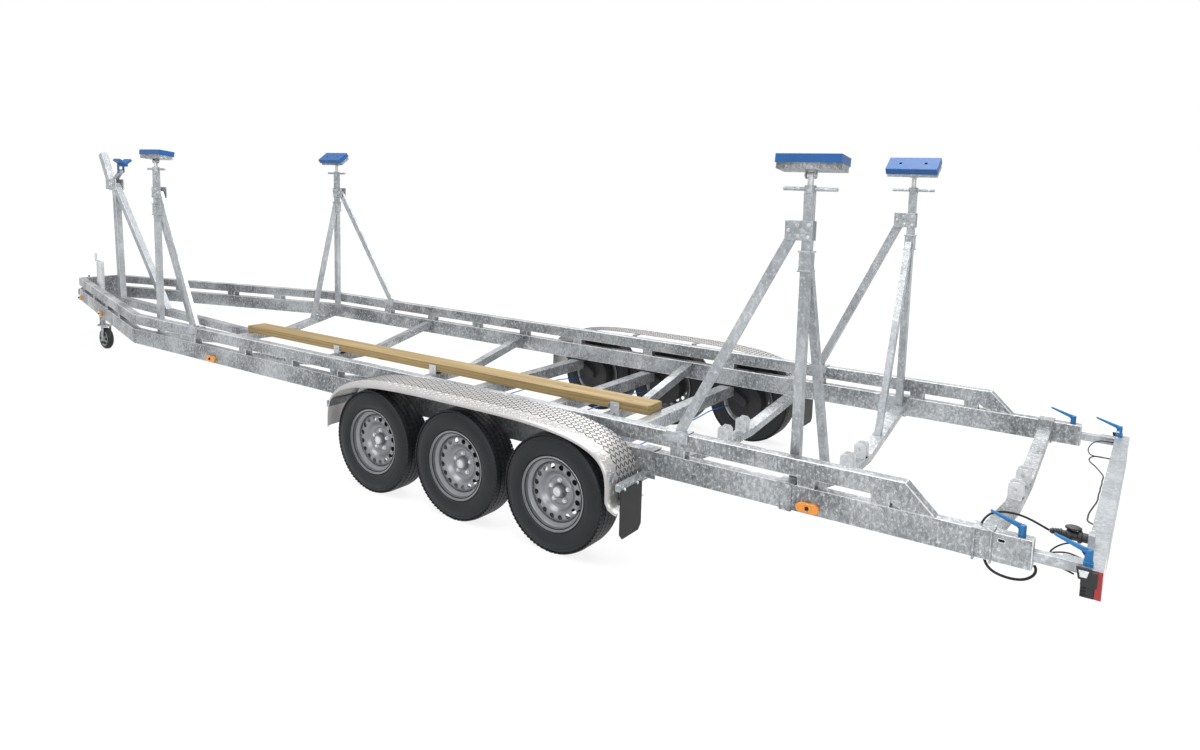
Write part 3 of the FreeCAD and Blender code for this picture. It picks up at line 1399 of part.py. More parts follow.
def plug():
    """Trailer plug that lies parked over the gap and stands in a socket on the bar."""
    tail = at(V.rear_end_st) - V.rail_wall * 8
    length = tail - at(V.bar_front_st) - V.seat_gap
    z = V.plug_z
    body = prism(16, V.plug_radius, length * 0.55, (tail - length, V.plug_y, z), "x", "plug_body")
    neck = prism(16, V.plug_radius * 0.7, length * 0.3, (tail - length * 0.45, V.plug_y, z), "x", "plug_neck")
    boot = prism(12, V.main_cable_radius * 2, length * 0.15, (tail - length * 0.15, V.plug_y, z), "x", "boot")
    keep(fuse([body, neck, boot]), "plug")


def build():
    make_sheet()
    for word, side in SIDES.items():
        side_rail(word, side)
        top_rail(word, side)
        mudguard(word, side)
    drawbar()
    coupling()
    bow_crossmember()
    plain_crossmembers()
    keel_crossmember("front", V.keel_cross_1_st, V.keel_cross_1_end_z, V.keel_cross_1_low_z, flat_band)
    keel_crossmember("middle", V.keel_cross_2_st, V.keel_cross_2_end_z, V.keel_cross_2_low_z, flat_band)
    keel_crossmember("rear", V.keel_cross_3_st, V.keel_cross_3_end_z, V.keel_cross_3_low_z, round_straps)
    keel_plank()
    mudguard_brackets()
    mud_flaps()
    stations = wheel_stations()
    keep(group([axle(station) for station in stations.values()]), "axles")
    for word, station in stations.items():
        for side_word, side in SIDES.items():
            tyre(side_word, side, word, station)
            rim(side_word, side, word, station)
    bow_carrier = (V.cross_end_z, V.cross_centre_z, V.cross_flat_half)
    rear_carrier = (V.keel_cross_2_end_z, V.keel_cross_2_low_z, V.keel_flat_half)
    for side_word, side in SIDES.items():
        stand("front", side_word, side, bow_carrier, -1, V.front_brace_reach_x, V.front_brace_reach_y)
        stand("rear", side_word, side, rear_carrier, 1, V.rear_brace_reach_x, V.rear_brace_reach_y)
        for end_word in STAND_STATIONS:
            pad_screw(end_word, side_word, side)
            hull_pad(end_word, side_word, side)
    bow_stand()
    bow_pad()
    jockey()
    light_bar()
    tail_lamps()
    marker_lamps()
    levers()
    cable(MAIN_CABLE, V.main_cable_radius, "cable_main")
    cable(LOOP_CABLE, V.loop_cable_radius, "cable_loop")
    cable(LAMP_CABLE, V.lamp_cable_radius, "cable_lamp")
    cable(BAR_CABLE, V.lamp_cable_radius, "cable_bar")
    plug()
    doc.recompute()


def check_and_write():
    for thing in doc.Objects:
        if "Invalid" in thing.State or "Error" in thing.State:
            raise RuntimeError(f"{thing.Name} ({thing.Label}) failed: {thing.State}")
    for thing in SUBPARTS:
        if thing.Shape.isNull() or not thing.Shape.isValid():
            raise RuntimeError(f"{thing.Label} has no valid shape")
    os.makedirs("parts", exist_ok=True)
    whole = FreeCAD.BoundBox()
    for thing in SUBPARTS:
        thing.Shape.exportStep(f"parts/{thing.Label}.step")
        whole.add(thing.Shape.BoundBox)
    print(len(SUBPARTS), "sub-parts", whole)


build()
check_and_write()
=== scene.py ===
import json
import math

import bmesh
import bpy
from bpy.props import FloatProperty, FloatVectorProperty, IntProperty, PointerProperty
from mathutils import Matrix, Vector

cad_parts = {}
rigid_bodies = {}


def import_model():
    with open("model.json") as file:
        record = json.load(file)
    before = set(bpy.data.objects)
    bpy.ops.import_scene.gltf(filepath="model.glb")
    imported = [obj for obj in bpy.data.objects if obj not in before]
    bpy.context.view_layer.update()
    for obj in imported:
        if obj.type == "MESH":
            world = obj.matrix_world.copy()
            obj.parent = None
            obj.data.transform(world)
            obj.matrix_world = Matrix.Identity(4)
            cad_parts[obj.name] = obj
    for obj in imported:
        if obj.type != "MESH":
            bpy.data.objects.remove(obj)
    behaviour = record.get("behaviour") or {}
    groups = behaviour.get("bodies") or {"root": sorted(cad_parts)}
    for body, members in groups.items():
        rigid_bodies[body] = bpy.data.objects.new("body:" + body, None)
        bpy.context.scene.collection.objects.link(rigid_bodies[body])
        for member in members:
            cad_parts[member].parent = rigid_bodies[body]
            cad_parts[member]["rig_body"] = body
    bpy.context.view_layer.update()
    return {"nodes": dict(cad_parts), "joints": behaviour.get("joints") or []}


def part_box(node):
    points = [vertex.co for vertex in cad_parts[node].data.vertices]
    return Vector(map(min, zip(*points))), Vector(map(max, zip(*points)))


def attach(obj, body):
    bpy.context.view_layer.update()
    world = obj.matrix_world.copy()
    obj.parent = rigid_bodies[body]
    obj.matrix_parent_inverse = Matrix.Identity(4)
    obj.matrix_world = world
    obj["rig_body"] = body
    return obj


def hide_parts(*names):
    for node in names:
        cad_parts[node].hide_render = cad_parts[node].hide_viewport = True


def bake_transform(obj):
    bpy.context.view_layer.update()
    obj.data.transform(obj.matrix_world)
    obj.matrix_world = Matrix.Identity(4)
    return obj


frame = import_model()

bl_info = {
    "name": "Boat trailer",
    "version": (1, 0, 0),
    "blender": (4, 5, 0),
    "location": "View3D > Sidebar > Trailer",
    "description": "Dresses the three-axle keel boat trailer with its finishes and its fine parts",
    "category": "Object",
}

NODES = frame["nodes"]
JOINTS = {joint["name"]: joint for joint in frame["joints"]}
SIDES = {"left": 1, "right": -1}
WHEELS = ("front", "middle", "rear")
STANDS = [(end, side) for end in ("front", "rear") for side in SIDES]


def middle_of(node):
    """Middle of a CAD node's box."""
    low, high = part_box(node)
    return (low + high) / 2


def hub_of(side, word):
    """Centre of a wheel, on its axle line."""
    return Vector(JOINTS[f"wheel_{side}_{word}_spin"]["pos_m"])


MID_X = hub_of("left", "middle").x      # lengths along the trailer are measured from the middle axle


def circle(count, radius=1.0, start=0.0):
    """Equally spaced (across, up) places on a circle, from a start angle."""
    turns = [2 * math.pi * i / count + start for i in range(count)]
    return [(radius * math.cos(turn), radius * math.sin(turn)) for turn in turns]


# Node trees

def tree_node(tree, kind, values=None, **settings):
    """Node with its settings and its inputs, each a plain value or a socket to link."""
    made = tree.nodes.new(kind)
    for key, value in settings.items():
        setattr(made, key, value)
    for key, value in (values or {}).items():
        if isinstance(value, bpy.types.NodeSocket):
            tree.links.new(value, made.inputs[key])
        else:
            made.inputs[key].default_value = value
    return made


def shader_node(tree, kind, values=None, **settings):
    """Shader node by the last part of its type's name."""
    return tree_node(tree, "ShaderNode" + kind, values, **settings)


def geo_node(tree, kind, values=None, **settings):
    """Geometry node by the last part of its type's name."""
    return tree_node(tree, "GeometryNode" + kind, values, **settings)


def maths(tree, operation, first, second):
    """One operation on two numbers or sockets."""
    return shader_node(tree, "Math", {0: first, 1: second}, operation=operation).outputs[0]


def weighted_sum(tree, *terms):
    """Sum of (value, weight) terms."""
    total = None
    for value, weight in terms:
        share = maths(tree, "MULTIPLY", value, weight)
        total = share if total is None else maths(tree, "ADD", total, share)
    return total


def object_vector(tree, stretch=(1, 1, 1)):
    """Object coordinates, stretched along each axis."""
    coords = shader_node(tree, "TexCoord").outputs["Object"]
    return shader_node(tree, "Mapping", {"Vector": coords, "Scale": stretch}).outputs["Vector"]


def noise(tree, vector, scale, detail=4.0, rough=0.55, distortion=0.0):
    """Noise from 0 to 1 along a vector."""
    made = shader_node(tree, "TexNoise", {"Vector": vector, "Scale": scale, "Detail": detail,
                                          "Roughness": rough, "Distortion": distortion})
    return made.outputs["Fac"]


def ramp(tree, source, stops):
    """Grey value between two (place, level) stops."""
    made = shader_node(tree, "ValToRGB", {"Fac": source})
    for point, (place, level) in zip(made.color_ramp.elements, stops):
        point.position = place
        point.color = (level, level, level, 1)
    return made.outputs["Color"]


# Shader groups that several finishes share

def new_group(name, inputs, outputs):
    """Group with number inputs at their defaults and number outputs, and its two end nodes."""
    group = bpy.data.node_groups.new(name, "ShaderNodeTree")
    for label, value in inputs.items():
        socket = group.interface.new_socket(label, in_out="INPUT", socket_type="NodeSocketFloat")
        socket.default_value = value
    for label in outputs:
        group.interface.new_socket(label, in_out="OUTPUT", socket_type="NodeSocketFloat")
    return group, group.nodes.new("NodeGroupInput"), group.nodes.new("NodeGroupOutput")


def zinc_group():
    """Hot-dip galvanising: pale spots and runs over dull clouds and a small crystal spangle."""
    group, entry, leave = new_group("zinc_spangle", {"Crystal Scale": 60.0, "Streak Scale": 5.0},
                                    ("Tone", "Height"))
    vector = object_vector(group)
    downward = object_vector(group, (1.0, 1.0, 0.42))
    cells = shader_node(group, "TexVoronoi", {"Vector": object_vector(group, (1.0, 1.0, 0.6)),
                                              "Scale": entry.outputs["Crystal Scale"]})
    crystals = shader_node(group, "SeparateColor", {0: cells.outputs["Color"]}).outputs[0]
    fine = noise(group, vector, 420.0, 3.0)
    streaks = noise(group, downward, entry.outputs["Streak Scale"], 6.0, 0.72, 0.6)
    runs = ramp(group, streaks, [(0.46, 0.0), (0.64, 1.0)])
    cloud = ramp(group, noise(group, vector, 3.0, 4.0), [(0.35, 0.0), (0.65, 1.0)])
    spots = ramp(group, noise(group, vector, 62.0, 3.0, 0.6), [(0.56, 0.0), (0.64, 1.0)])
    tone = weighted_sum(group, (crystals, 0.12), (runs, 0.26), (cloud, 0.34), (spots, 0.36), (fine, 0.12))
    group.links.new(ramp(group, tone, [(0.10, 0.0), (0.92, 1.0)]), leave.inputs["Tone"])
    group.links.new(weighted_sum(group, (runs, 0.6), (fine, 0.4)), leave.inputs["Height"])
    return group


def grime_group():
    """Fine dust: a mask that grows in soft clouds and fades with height above the ground."""
    group, entry, leave = new_group("road_dust", {"Cloud Scale": 6.0, "Reach": 0.5}, ("Mask", "Height"))
    vector = object_vector(group)
    clouds = noise(group, vector, entry.outputs["Cloud Scale"], 7.0, 0.66)
    height = shader_node(group, "SeparateXYZ", {0: vector}).outputs["Z"]
    low = shader_node(group, "MapRange", {"Value": height, "From Min": 0.0,
                                          "From Max": entry.outputs["Reach"], "To Min": 1.0, "To Max": 0.15})
    mask = maths(group, "MULTIPLY", ramp(group, clouds, [(0.35, 0.0), (0.7, 1.0)]), low.outputs["Result"])
    group.links.new(mask, leave.inputs["Mask"])
    group.links.new(noise(group, vector, 260.0, 3.0), leave.inputs["Height"])
    return group


GROUP_MAKERS = {"zinc": zinc_group, "dust": grime_group}
GROUPS = {}


def group_named(name):
    """Shared shader group, built on first use."""
    if name not in GROUPS:
        GROUPS[name] = GROUP_MAKERS[name]()
    return GROUPS[name]


# Materials

class Finish:
    """One material on its Principled shader, with short calls for its patterns."""

    def __init__(self, name, colour, roughness, **plain):
        self.material = bpy.data.materials.new(name)
        self.material.use_nodes = True
        self.tree = self.material.node_tree
        self.shader = self.tree.nodes["Principled BSDF"]
        self.shader.inputs["Base Color"].default_value = (*colour, 1)
        self.shader.inputs["Roughness"].default_value = roughness
        for key, value in plain.items():
            self.shader.inputs[key.replace("_", " ").title().replace("Ior", "IOR")].default_value = value

    def link(self, source, socket):
        """Feed one of the shader's own sockets."""
        self.tree.links.new(source, self.shader.inputs[socket])

    def group(self, name, **values):
        """Place a shared group with this material's own values."""
        made = self.tree.nodes.new("ShaderNodeGroup")
        made.node_tree = group_named(name)
        for key, value in values.items():
            made.inputs[key.replace("_", " ").title()].default_value = value
        return made.outputs

    def blend(self, mask, first, second):
        """Two colours, or a colour socket and a colour, mixed by a mask."""
        ends = [(*colour, 1) if isinstance(colour, tuple) else colour for colour in (first, second)]
        mix = shader_node(self.tree, "Mix", {"Factor": mask, 6: ends[0], 7: ends[1]}, data_type="RGBA")
        return mix.outputs[2]

    def colours(self, mask, first, second):
        """Base colour between two colours."""
        self.link(self.blend(mask, first, second), "Base Color")

    def spread(self, mask, low, high):
        """Roughness between two values."""
        made = shader_node(self.tree, "MapRange", {"Value": mask, "To Min": low, "To Max": high})
        self.link(made.outputs["Result"], "Roughness")

    def relief(self, height, strength, distance):
        """Bump of a given depth in metres."""
        bump = shader_node(self.tree, "Bump", {"Height": height, "Strength": strength, "Distance": distance})
        self.link(bump.outputs["Normal"], "Normal")


def galvanised(name, dark, pale, crystal, streak, roughness, metallic=0.5):
    """Zinc coat between a dark and a pale tone."""
    finish = Finish(name, pale, roughness, metallic=metallic)
    zinc = finish.group("zinc", crystal_scale=crystal, streak_scale=streak)
    finish.colours(zinc["Tone"], dark, pale)
    finish.spread(zinc["Tone"], roughness + 0.12, roughness - 0.08)
    finish.relief(zinc["Height"], 0.35, 0.0006)
    return finish.material


def pine():
    """Pressure-treated softwood: long rings, fibres and a few knots."""
    finish = Finish("treated_pine", (0.5, 0.36, 0.15), 0.62)
    tree = finish.tree
    rings = shader_node(tree, "TexWave", {"Vector": object_vector(tree, (0.35, 6.0, 9.0)), "Scale": 1.6,
                                          "Distortion": 7.0, "Detail": 4.0, "Detail Scale": 1.4},
                        wave_type="BANDS", bands_direction="Z")
    fibre = noise(tree, object_vector(tree, (3.0, 140.0, 140.0)), 2.4, 6.0, 0.6)
    cloud = noise(tree, object_vector(tree, (0.8, 3.0, 3.0)), 2.2, 5.0, 0.6)
    cells = shader_node(tree, "TexVoronoi", {"Vector": object_vector(tree, (2.2, 7.0, 7.0)), "Scale": 1.0,
                                             "Randomness": 1.0})
    knots = ramp(tree, cells.outputs["Distance"], [(0.05, 1.0), (0.11, 0.0)])
    figure = weighted_sum(tree, (rings.outputs["Fac"], 0.35), (fibre, 0.4), (cloud, 0.3))
    base = finish.blend(figure, (0.15, 0.092, 0.032), (0.42, 0.31, 0.135))
    finish.colours(knots, base, (0.16, 0.085, 0.03))
    finish.relief(fibre, 0.4, 0.0008)
    return finish.material


def plastic(name, colour, shade, roughness):
    """Moulded plastic with faint clouds and a fine grain."""
    finish = Finish(name, colour, roughness)
    cloud = noise(finish.tree, object_vector(finish.tree), 9.0, 5.0)
    finish.colours(ramp(finish.tree, cloud, [(0.3, 0.0), (0.7, 1.0)]), shade, colour)
    finish.spread(cloud, roughness - 0.08, roughness + 0.12)
    finish.relief(noise(finish.tree, object_vector(finish.tree), 700.0, 2.0), 0.12, 0.0004)
    return finish.material


def rubber(name, colour, dust, roughness):
    """Dull rubber with dust that thins out above the wheels."""
    finish = Finish(name, colour, roughness, specular_ior_level=0.28)
    grime = finish.group("dust", cloud_scale=7.0, reach=0.6)
    finish.colours(grime["Mask"], colour, dust)
    finish.spread(grime["Mask"], roughness - 0.06, roughness + 0.2)
    finish.relief(grime["Height"], 0.16, 0.0005)
    return finish.material


def wheel_paint():
    """Silver wheel paint with a metal flake."""
    finish = Finish("silver_paint", (0.55, 0.56, 0.58), 0.36, metallic=0.55, coat_weight=0.25)
    tree = finish.tree
    flake = noise(tree, object_vector(tree), 900.0, 2.0)
    cloud = noise(tree, object_vector(tree), 12.0, 4.0)
    mixed = weighted_sum(tree, (flake, 0.4), (cloud, 0.6))
    finish.colours(mixed, (0.15, 0.156, 0.165), (0.29, 0.298, 0.31))
    finish.spread(cloud, 0.28, 0.46)
    return finish.material


def tread_sheet():
    """Bare aluminium sheet with rolling marks along it."""
    finish = Finish("tread_plate", (0.74, 0.73, 0.72), 0.34, metallic=0.5)
    tree = finish.tree
    scratch = noise(tree, object_vector(tree, (4.0, 60.0, 60.0)), 3.0, 5.0, 0.6)
    cloud = noise(tree, object_vector(tree), 5.0, 4.0)
    mixed = weighted_sum(tree, (scratch, 0.5), (cloud, 0.5))
    finish.colours(mixed, (0.27, 0.263, 0.26), (0.56, 0.546, 0.54))
    finish.spread(scratch, 0.24, 0.44)
    finish.relief(scratch, 0.1, 0.0003)
    return finish.material


def lens(name, colour, deep):
    """Moulded lamp lens with prism bands behind a clear face."""
    finish = Finish(name, colour, 0.12, coat_weight=0.6)
    prisms = shader_node(finish.tree, "TexWave", {"Vector": object_vector(finish.tree), "Scale": 60.0,
                                                  "Distortion": 0.0}, bands_direction="Z").outputs["Fac"]
    finish.colours(prisms, deep, colour)
    finish.relief(prisms, 0.5, 0.0006)
    return finish.material


FINISHES = {        # maker, material's name, its colours, then the maker's other values
    "zinc": (galvanised, "galvanised_steel", (0.088, 0.093, 0.10), (0.655, 0.682, 0.70),
             130.0, 70.0, 0.33),
    "zinc_dark": (galvanised, "galvanised_shade", (0.07, 0.075, 0.082), (0.40, 0.41, 0.425),
                  150.0, 60.0, 0.44),
    "zinc_tube": (galvanised, "galvanised_tube", (0.25, 0.268, 0.285), (0.60, 0.628, 0.65),
                  60.0, 40.0, 0.32),
    # painted highlight: a paler, less metallic copy of the zinc, put on bevelled edges and on the keel ears'
    # faces where light would catch them
    "zinc_edge": (galvanised, "galvanised_edge", (0.50, 0.51, 0.52), (0.84, 0.85, 0.86),
                  130.0, 70.0, 0.33, 0.2),
    "bolt": (galvanised, "zinc_plated_bolts", (0.48, 0.49, 0.50), (0.78, 0.79, 0.80),
             160.0, 40.0, 0.28),
    # painted shade: near-black zinc for the flat top's lugs, standing in for their shaded sides that reflect
    # dark
    "lug": (galvanised, "tread_plate_lugs", (0.035, 0.034, 0.033), (0.09, 0.088, 0.086),
            200.0, 40.0, 0.45, 0.1),
    "tread": (tread_sheet,),
    "paint": (wheel_paint,),
    "pine": (pine,),
    "blue": (plastic, "blue_plastic", (0.004, 0.088, 0.29), (0.003, 0.066, 0.225), 0.42),
    "lever_blue": (plastic, "lever_blue", (0.007, 0.165, 0.42), (0.005, 0.125, 0.33), 0.38),
    "cable_blue": (plastic, "cable_blue", (0.012, 0.13, 0.50), (0.008, 0.09, 0.36), 0.35),
    "black": (plastic, "black_plastic", (0.018, 0.018, 0.02), (0.010, 0.010, 0.012), 0.46),
    "tyre": (rubber, "tyre_rubber", (0.009, 0.010, 0.0125), (0.020, 0.021, 0.024), 0.5),
    "rubber": (rubber, "black_rubber", (0.012, 0.012, 0.013), (0.03, 0.03, 0.03), 0.55),
    "lead": (rubber, "lead_rubber", (0.011, 0.011, 0.012), (0.022, 0.022, 0.023), 0.45),
    "drum": (rubber, "drum_black", (0.013, 0.013, 0.015), (0.05, 0.05, 0.05), 0.5),
    "red": (lens, "red_lens", (0.52, 0.004, 0.008), (0.24, 0.002, 0.004)),
    "amber": (lens, "amber_lens", (0.88, 0.33, 0.012), (0.55, 0.16, 0.005)),
    "clear": (lens, "clear_lens", (0.80, 0.82, 0.83), (0.52, 0.54, 0.56)),
}
MATERIALS = {}


def finish_named(name):
    """Material of a finish, built on first use."""
    if name not in MATERIALS:
        maker, *values = FINISHES[name]
        MATERIALS[name] = maker(*values)
    return MATERIALS[name]


# Mesh helpers

BEVEL_ANGLE = 28.0          # degrees: flatter edges stay as they are
# finish of the painted highlight on the bevelled edges of each finish
EDGE_HIGHLIGHT_FINISH = {"zinc": "zinc_edge", "zinc_tube": "zinc_edge"}
LEAST_EDGE = 0.002          # narrower bevels get no painted highlight and keep the piece's own finish


def placed(name, data):
    """New object in the scene."""
    made = bpy.data.objects.new(name, data)
    bpy.context.scene.collection.objects.link(made)
    return made


def smoothed(mesh, angle):
    """Smooth shading, with edges sharp above an angle in degrees."""
    mesh.polygons.foreach_set("use_smooth", [True] * len(mesh.polygons))
    mesh.set_sharp_from_angle(angle=math.radians(angle))


def add_object(name, work, finish, smooth_angle=35.0):
    """Object from a bmesh, with outward faces."""
    bmesh.ops.recalc_face_normals(work, faces=work.faces)
    mesh = bpy.data.meshes.new(name)
    work.to_mesh(mesh)
    work.free()
    smoothed(mesh, smooth_angle)
    if finish:
        mesh.materials.append(finish_named(finish))
    return placed(name, mesh)


def evaluated_mesh(made):
    """New mesh of an object as its modifiers leave it."""
    depsgraph = bpy.context.evaluated_depsgraph_get()
    return bpy.data.meshes.new_from_object(made.evaluated_get(depsgraph), depsgraph=depsgraph)


def baked(made, finish=None, smooth_angle=None):
    """Turn an object's modifiers into its mesh."""
    mesh = evaluated_mesh(made)
    made.modifiers.clear()
    old = made.data
    made.data = mesh
    mesh.name = made.name
    if old.users == 0:
        bpy.data.meshes.remove(old)
    if smooth_angle:
        smoothed(mesh, smooth_angle)
    if finish:
        mesh.materials.clear()
        mesh.materials.append(finish_named(finish))
    return made


def add_bevel(made, width, segments, angle):
    """Bevel modifier for edges sharper than an angle in degrees."""
    bevel = made.modifiers.new("rounded", "BEVEL")
    bevel.width = width
    bevel.segments = segments
    bevel.limit_method = "ANGLE"
    bevel.angle_limit = math.radians(angle)
    bevel.use_clamp_overlap = False
    return bevel


def bevelled(made, width, segments=2, edge=None):
    """Round an object's sharp edges, with a paler finish on them as a painted highlight if given, and weight
    its normals.
    """
    bevel = add_bevel(made, width, segments, BEVEL_ANGLE)
    bevel.miter_outer = "MITER_ARC"
    if edge:
        made.data.materials.append(finish_named(edge))
        bevel.material = len(made.data.materials) - 1
    weighted = made.modifiers.new("weighted", "WEIGHTED_NORMAL")
    weighted.keep_sharp = True
    return baked(made)


def node_mesh(node):
    """Merged bmesh copy of a CAD node."""
    work = bmesh.new()
    work.from_mesh(NODES[node].data)
    bmesh.ops.remove_doubles(work, verts=work.verts, dist=2e-5)
    bmesh.ops.dissolve_limit(work, angle_limit=math.radians(0.6), verts=work.verts, edges=work.edges)
    return work


def dressed(node, finish, width, segments=2):
    """The node's own shape with rounded edges, in place of the node."""
    made = add_object(node + "_finished", node_mesh(node), finish)
    # zinc bevels wide enough get the paler zinc as a painted highlight
    bevelled(made, width, segments, edge=EDGE_HIGHLIGHT_FINISH.get(finish) if width > LEAST_EDGE else None)
    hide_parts(node)
    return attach(made, NODES[node]["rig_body"])


def facing(profile, side):
    """(along, radius) profile turned towards the left, 1, or the right, -1."""
    return [(along * side, radius) for along, radius in profile]


def skin(work, rings):
    """Faces between neighbouring rings of vertices."""
    for first, second in zip(rings, rings[1:]):
        for i in range(len(first)):
            j = (i + 1) % len(first)
            work.faces.new((first[i], first[j], second[j], second[i]))


def lathe(work, profile, centre, steps, closed=False):
    """Solid of revolution about the y axis through a centre, from (along, radius) points."""
    rings = [[work.verts.new(Vector((x, along, z)) + centre) for x, z in circle(steps, radius)]
             for along, radius in profile]
    skin(work, rings + rings[:1] if closed else rings)
    if not closed:
        work.faces.new(rings[0])
        work.faces.new(rings[-1])


def loft(work, sections):
    """Closed skin through equal sections."""
    rings = [[work.verts.new(point) for point in section] for section in sections]
    skin(work, rings)
    work.faces.new(rings[0])
    work.faces.new(rings[-1])


def block(work, low, high):
    """Box between two corners."""
    corners = [(x, y, z) for x in (low[0], high[0]) for y in (low[1], high[1]) for z in (low[2], high[2])]
    verts = [work.verts.new(corner) for corner in corners]
    for face in ((0, 1, 3, 2), (4, 6, 7, 5), (0, 4, 5, 1), (2, 3, 7, 6), (0, 2, 6, 4), (1, 5, 7, 3)):
        work.faces.new([verts[i] for i in face])


# Geometry Nodes: one shape set on every point of a carrier mesh

def geometry_tree(name, sizes):
    """Empty tree with its named sizes and its finish as inputs."""
    tree = bpy.data.node_groups.new(name, "GeometryNodeTree")
    tree.interface.new_socket("Geometry", in_out="INPUT", socket_type="NodeSocketGeometry")
    for label, value in sizes.items():
        socket = tree.interface.new_socket(label, in_out="INPUT", socket_type="NodeSocketFloat")
        socket.default_value = value
    tree.interface.new_socket("Finish", in_out="INPUT", socket_type="NodeSocketMaterial")
    tree.interface.new_socket("Geometry", in_out="OUTPUT", socket_type="NodeSocketGeometry")
    return tree


def scatter_tree(name, sizes, shape):
    """Tree that sets a shape on each point, its Z along the point's aim and turned by its twist."""
    tree = geometry_tree(name, sizes)
    entry = tree.nodes.new("NodeGroupInput")
    leave = tree.nodes.new("NodeGroupOutput")
    aim = geo_node(tree, "InputNamedAttribute", {"Name": "aim"}, data_type="FLOAT_VECTOR")
    twist = geo_node(tree, "InputNamedAttribute", {"Name": "twist"}, data_type="FLOAT")
    align = tree_node(tree, "FunctionNodeAlignRotationToVector", {"Vector": aim.outputs[0]}, axis="Z")
    spin = tree_node(tree, "FunctionNodeAxisAngleToRotation", {"Angle": twist.outputs[0]})
    turned = tree_node(tree, "FunctionNodeRotateRotation", {0: align.outputs[0], 1: spin.outputs[0]},
                       rotation_space="LOCAL")
    points = geo_node(tree, "MeshToPoints", {"Mesh": entry.outputs["Geometry"]})
    put = geo_node(tree, "InstanceOnPoints", {"Points": points.outputs[0], "Instance": shape(tree, entry),
                                              "Rotation": turned.outputs[0]})
    real = geo_node(tree, "RealizeInstances", {"Geometry": put.outputs[0]})
    coat = geo_node(tree, "SetMaterial", {"Geometry": real.outputs[0], "Material": entry.outputs["Finish"]})
    tree.links.new(coat.outputs[0], leave.inputs[0])
    return tree


def moved(tree, geometry, offset=None, scale=None, turn=None):
    """Geometry set off or scaled by numbers or sockets, and turned by an angle about each axis."""
    values = {"Geometry": geometry}
    for key, triple in (("Translation", offset), ("Scale", scale)):
        if triple:
            values[key] = shader_node(tree, "CombineXYZ", dict(zip("XYZ", triple))).outputs[0]
    if turn:
        values["Rotation"] = turn
    return geo_node(tree, "Transform", values).outputs[0]


def bolt_shape(tree, entry):
    """Washer, hexagon head with its crown, and threaded end."""
    radius, reach = entry.outputs["Head Radius"], entry.outputs["Reach"]

    def radii(count):
        return maths(tree, "MULTIPLY", radius, count)

    washer = geo_node(tree, "MeshCylinder", {"Vertices": 20, "Radius": radii(1.22), "Depth": radii(0.22)})
    head = geo_node(tree, "MeshCylinder", {"Vertices": 6, "Radius": radius, "Depth": radii(0.75)})
    crown = geo_node(tree, "MeshCone", {"Vertices": 12, "Radius Bottom": radii(0.8),
                                        "Radius Top": radii(0.66), "Depth": radii(0.1)})
    shank = geo_node(tree, "MeshCylinder", {"Vertices": 12, "Radius": radii(0.5), "Depth": reach})
    join = geo_node(tree, "JoinGeometry")
    for part, height in ((washer, radii(0.11)), (head, radii(0.59)), (crown, radii(0.96)),
                         (shank, maths(tree, "MULTIPLY", reach, 0.5))):
        tree.links.new(moved(tree, part.outputs[0], offset=(0.0, 0.0, height)), join.inputs[0])
    return join.outputs[0]


def lug_shape(tree, entry):
    """Raised lozenge of tread plate: a long low mound."""
    ball = geo_node(tree, "MeshUVSphere", {"Segments": 8, "Rings": 4, "Radius": 1.0})
    return moved(tree, ball.outputs[0], scale=(entry.outputs["Half Length"], entry.outputs["Half Width"],
                                               entry.outputs["Rise"]))


def tread_shape(tree, entry):
    """Block of tyre tread with tapered flanks."""
    cone = geo_node(tree, "MeshCone", {"Vertices": 4, "Radius Bottom": 0.72, "Radius Top": 0.69,
                                       "Depth": 1.0})
    square = moved(tree, cone.outputs[0], turn=(0.0, 0.0, math.pi / 4))
    return moved(tree, square, scale=(entry.outputs["Length"], entry.outputs["Width"], entry.outputs["Rise"]))


TREE_SHAPES = {
    "bolts": ("bolt_heads", {"Head Radius": 0.01, "Reach": 0.012}, bolt_shape),
    "lugs": ("tread_plate_lugs", {"Half Length": 0.013, "Half Width": 0.0036, "Rise": 0.0016}, lug_shape),
    "tread": ("tyre_tread", {"Length": 0.02, "Width": 0.02, "Rise": 0.008}, tread_shape),
}
TREES = {}


def scattered(name, tree_name, spots, finish, body, smooth_angle=35.0, **sizes):
    """Piece made of one shape on each (place, aim, twist) spot."""
    if tree_name not in TREES:
        TREES[tree_name] = scatter_tree(*TREE_SHAPES[tree_name])
    mesh = bpy.data.meshes.new(name)
    mesh.from_pydata([tuple(place) for place, _, _ in spots], [], [])
    mesh.attributes.new("aim", "FLOAT_VECTOR", "POINT")
    mesh.attributes.new("twist", "FLOAT", "POINT")
    mesh.attributes["aim"].data.foreach_set("vector", [value for _, aim, _ in spots for value in aim])
    mesh.attributes["twist"].data.foreach_set("value", [twist for _, _, twist in spots])
    made = placed(name, mesh)
    modifier = made.modifiers.new("repeat", "NODES")
    modifier.node_group = TREES[tree_name]
    values = dict(sizes, finish=finish_named(finish))
    for item in modifier.node_group.interface.items_tree:
        key = item.name.replace(" ", "_").lower()
        if item.in_out == "INPUT" and key in values:
            modifier[item.identifier] = values[key]
    baked(made, finish, smooth_angle)
    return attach(made, body) if body else made


# Settings a user may change

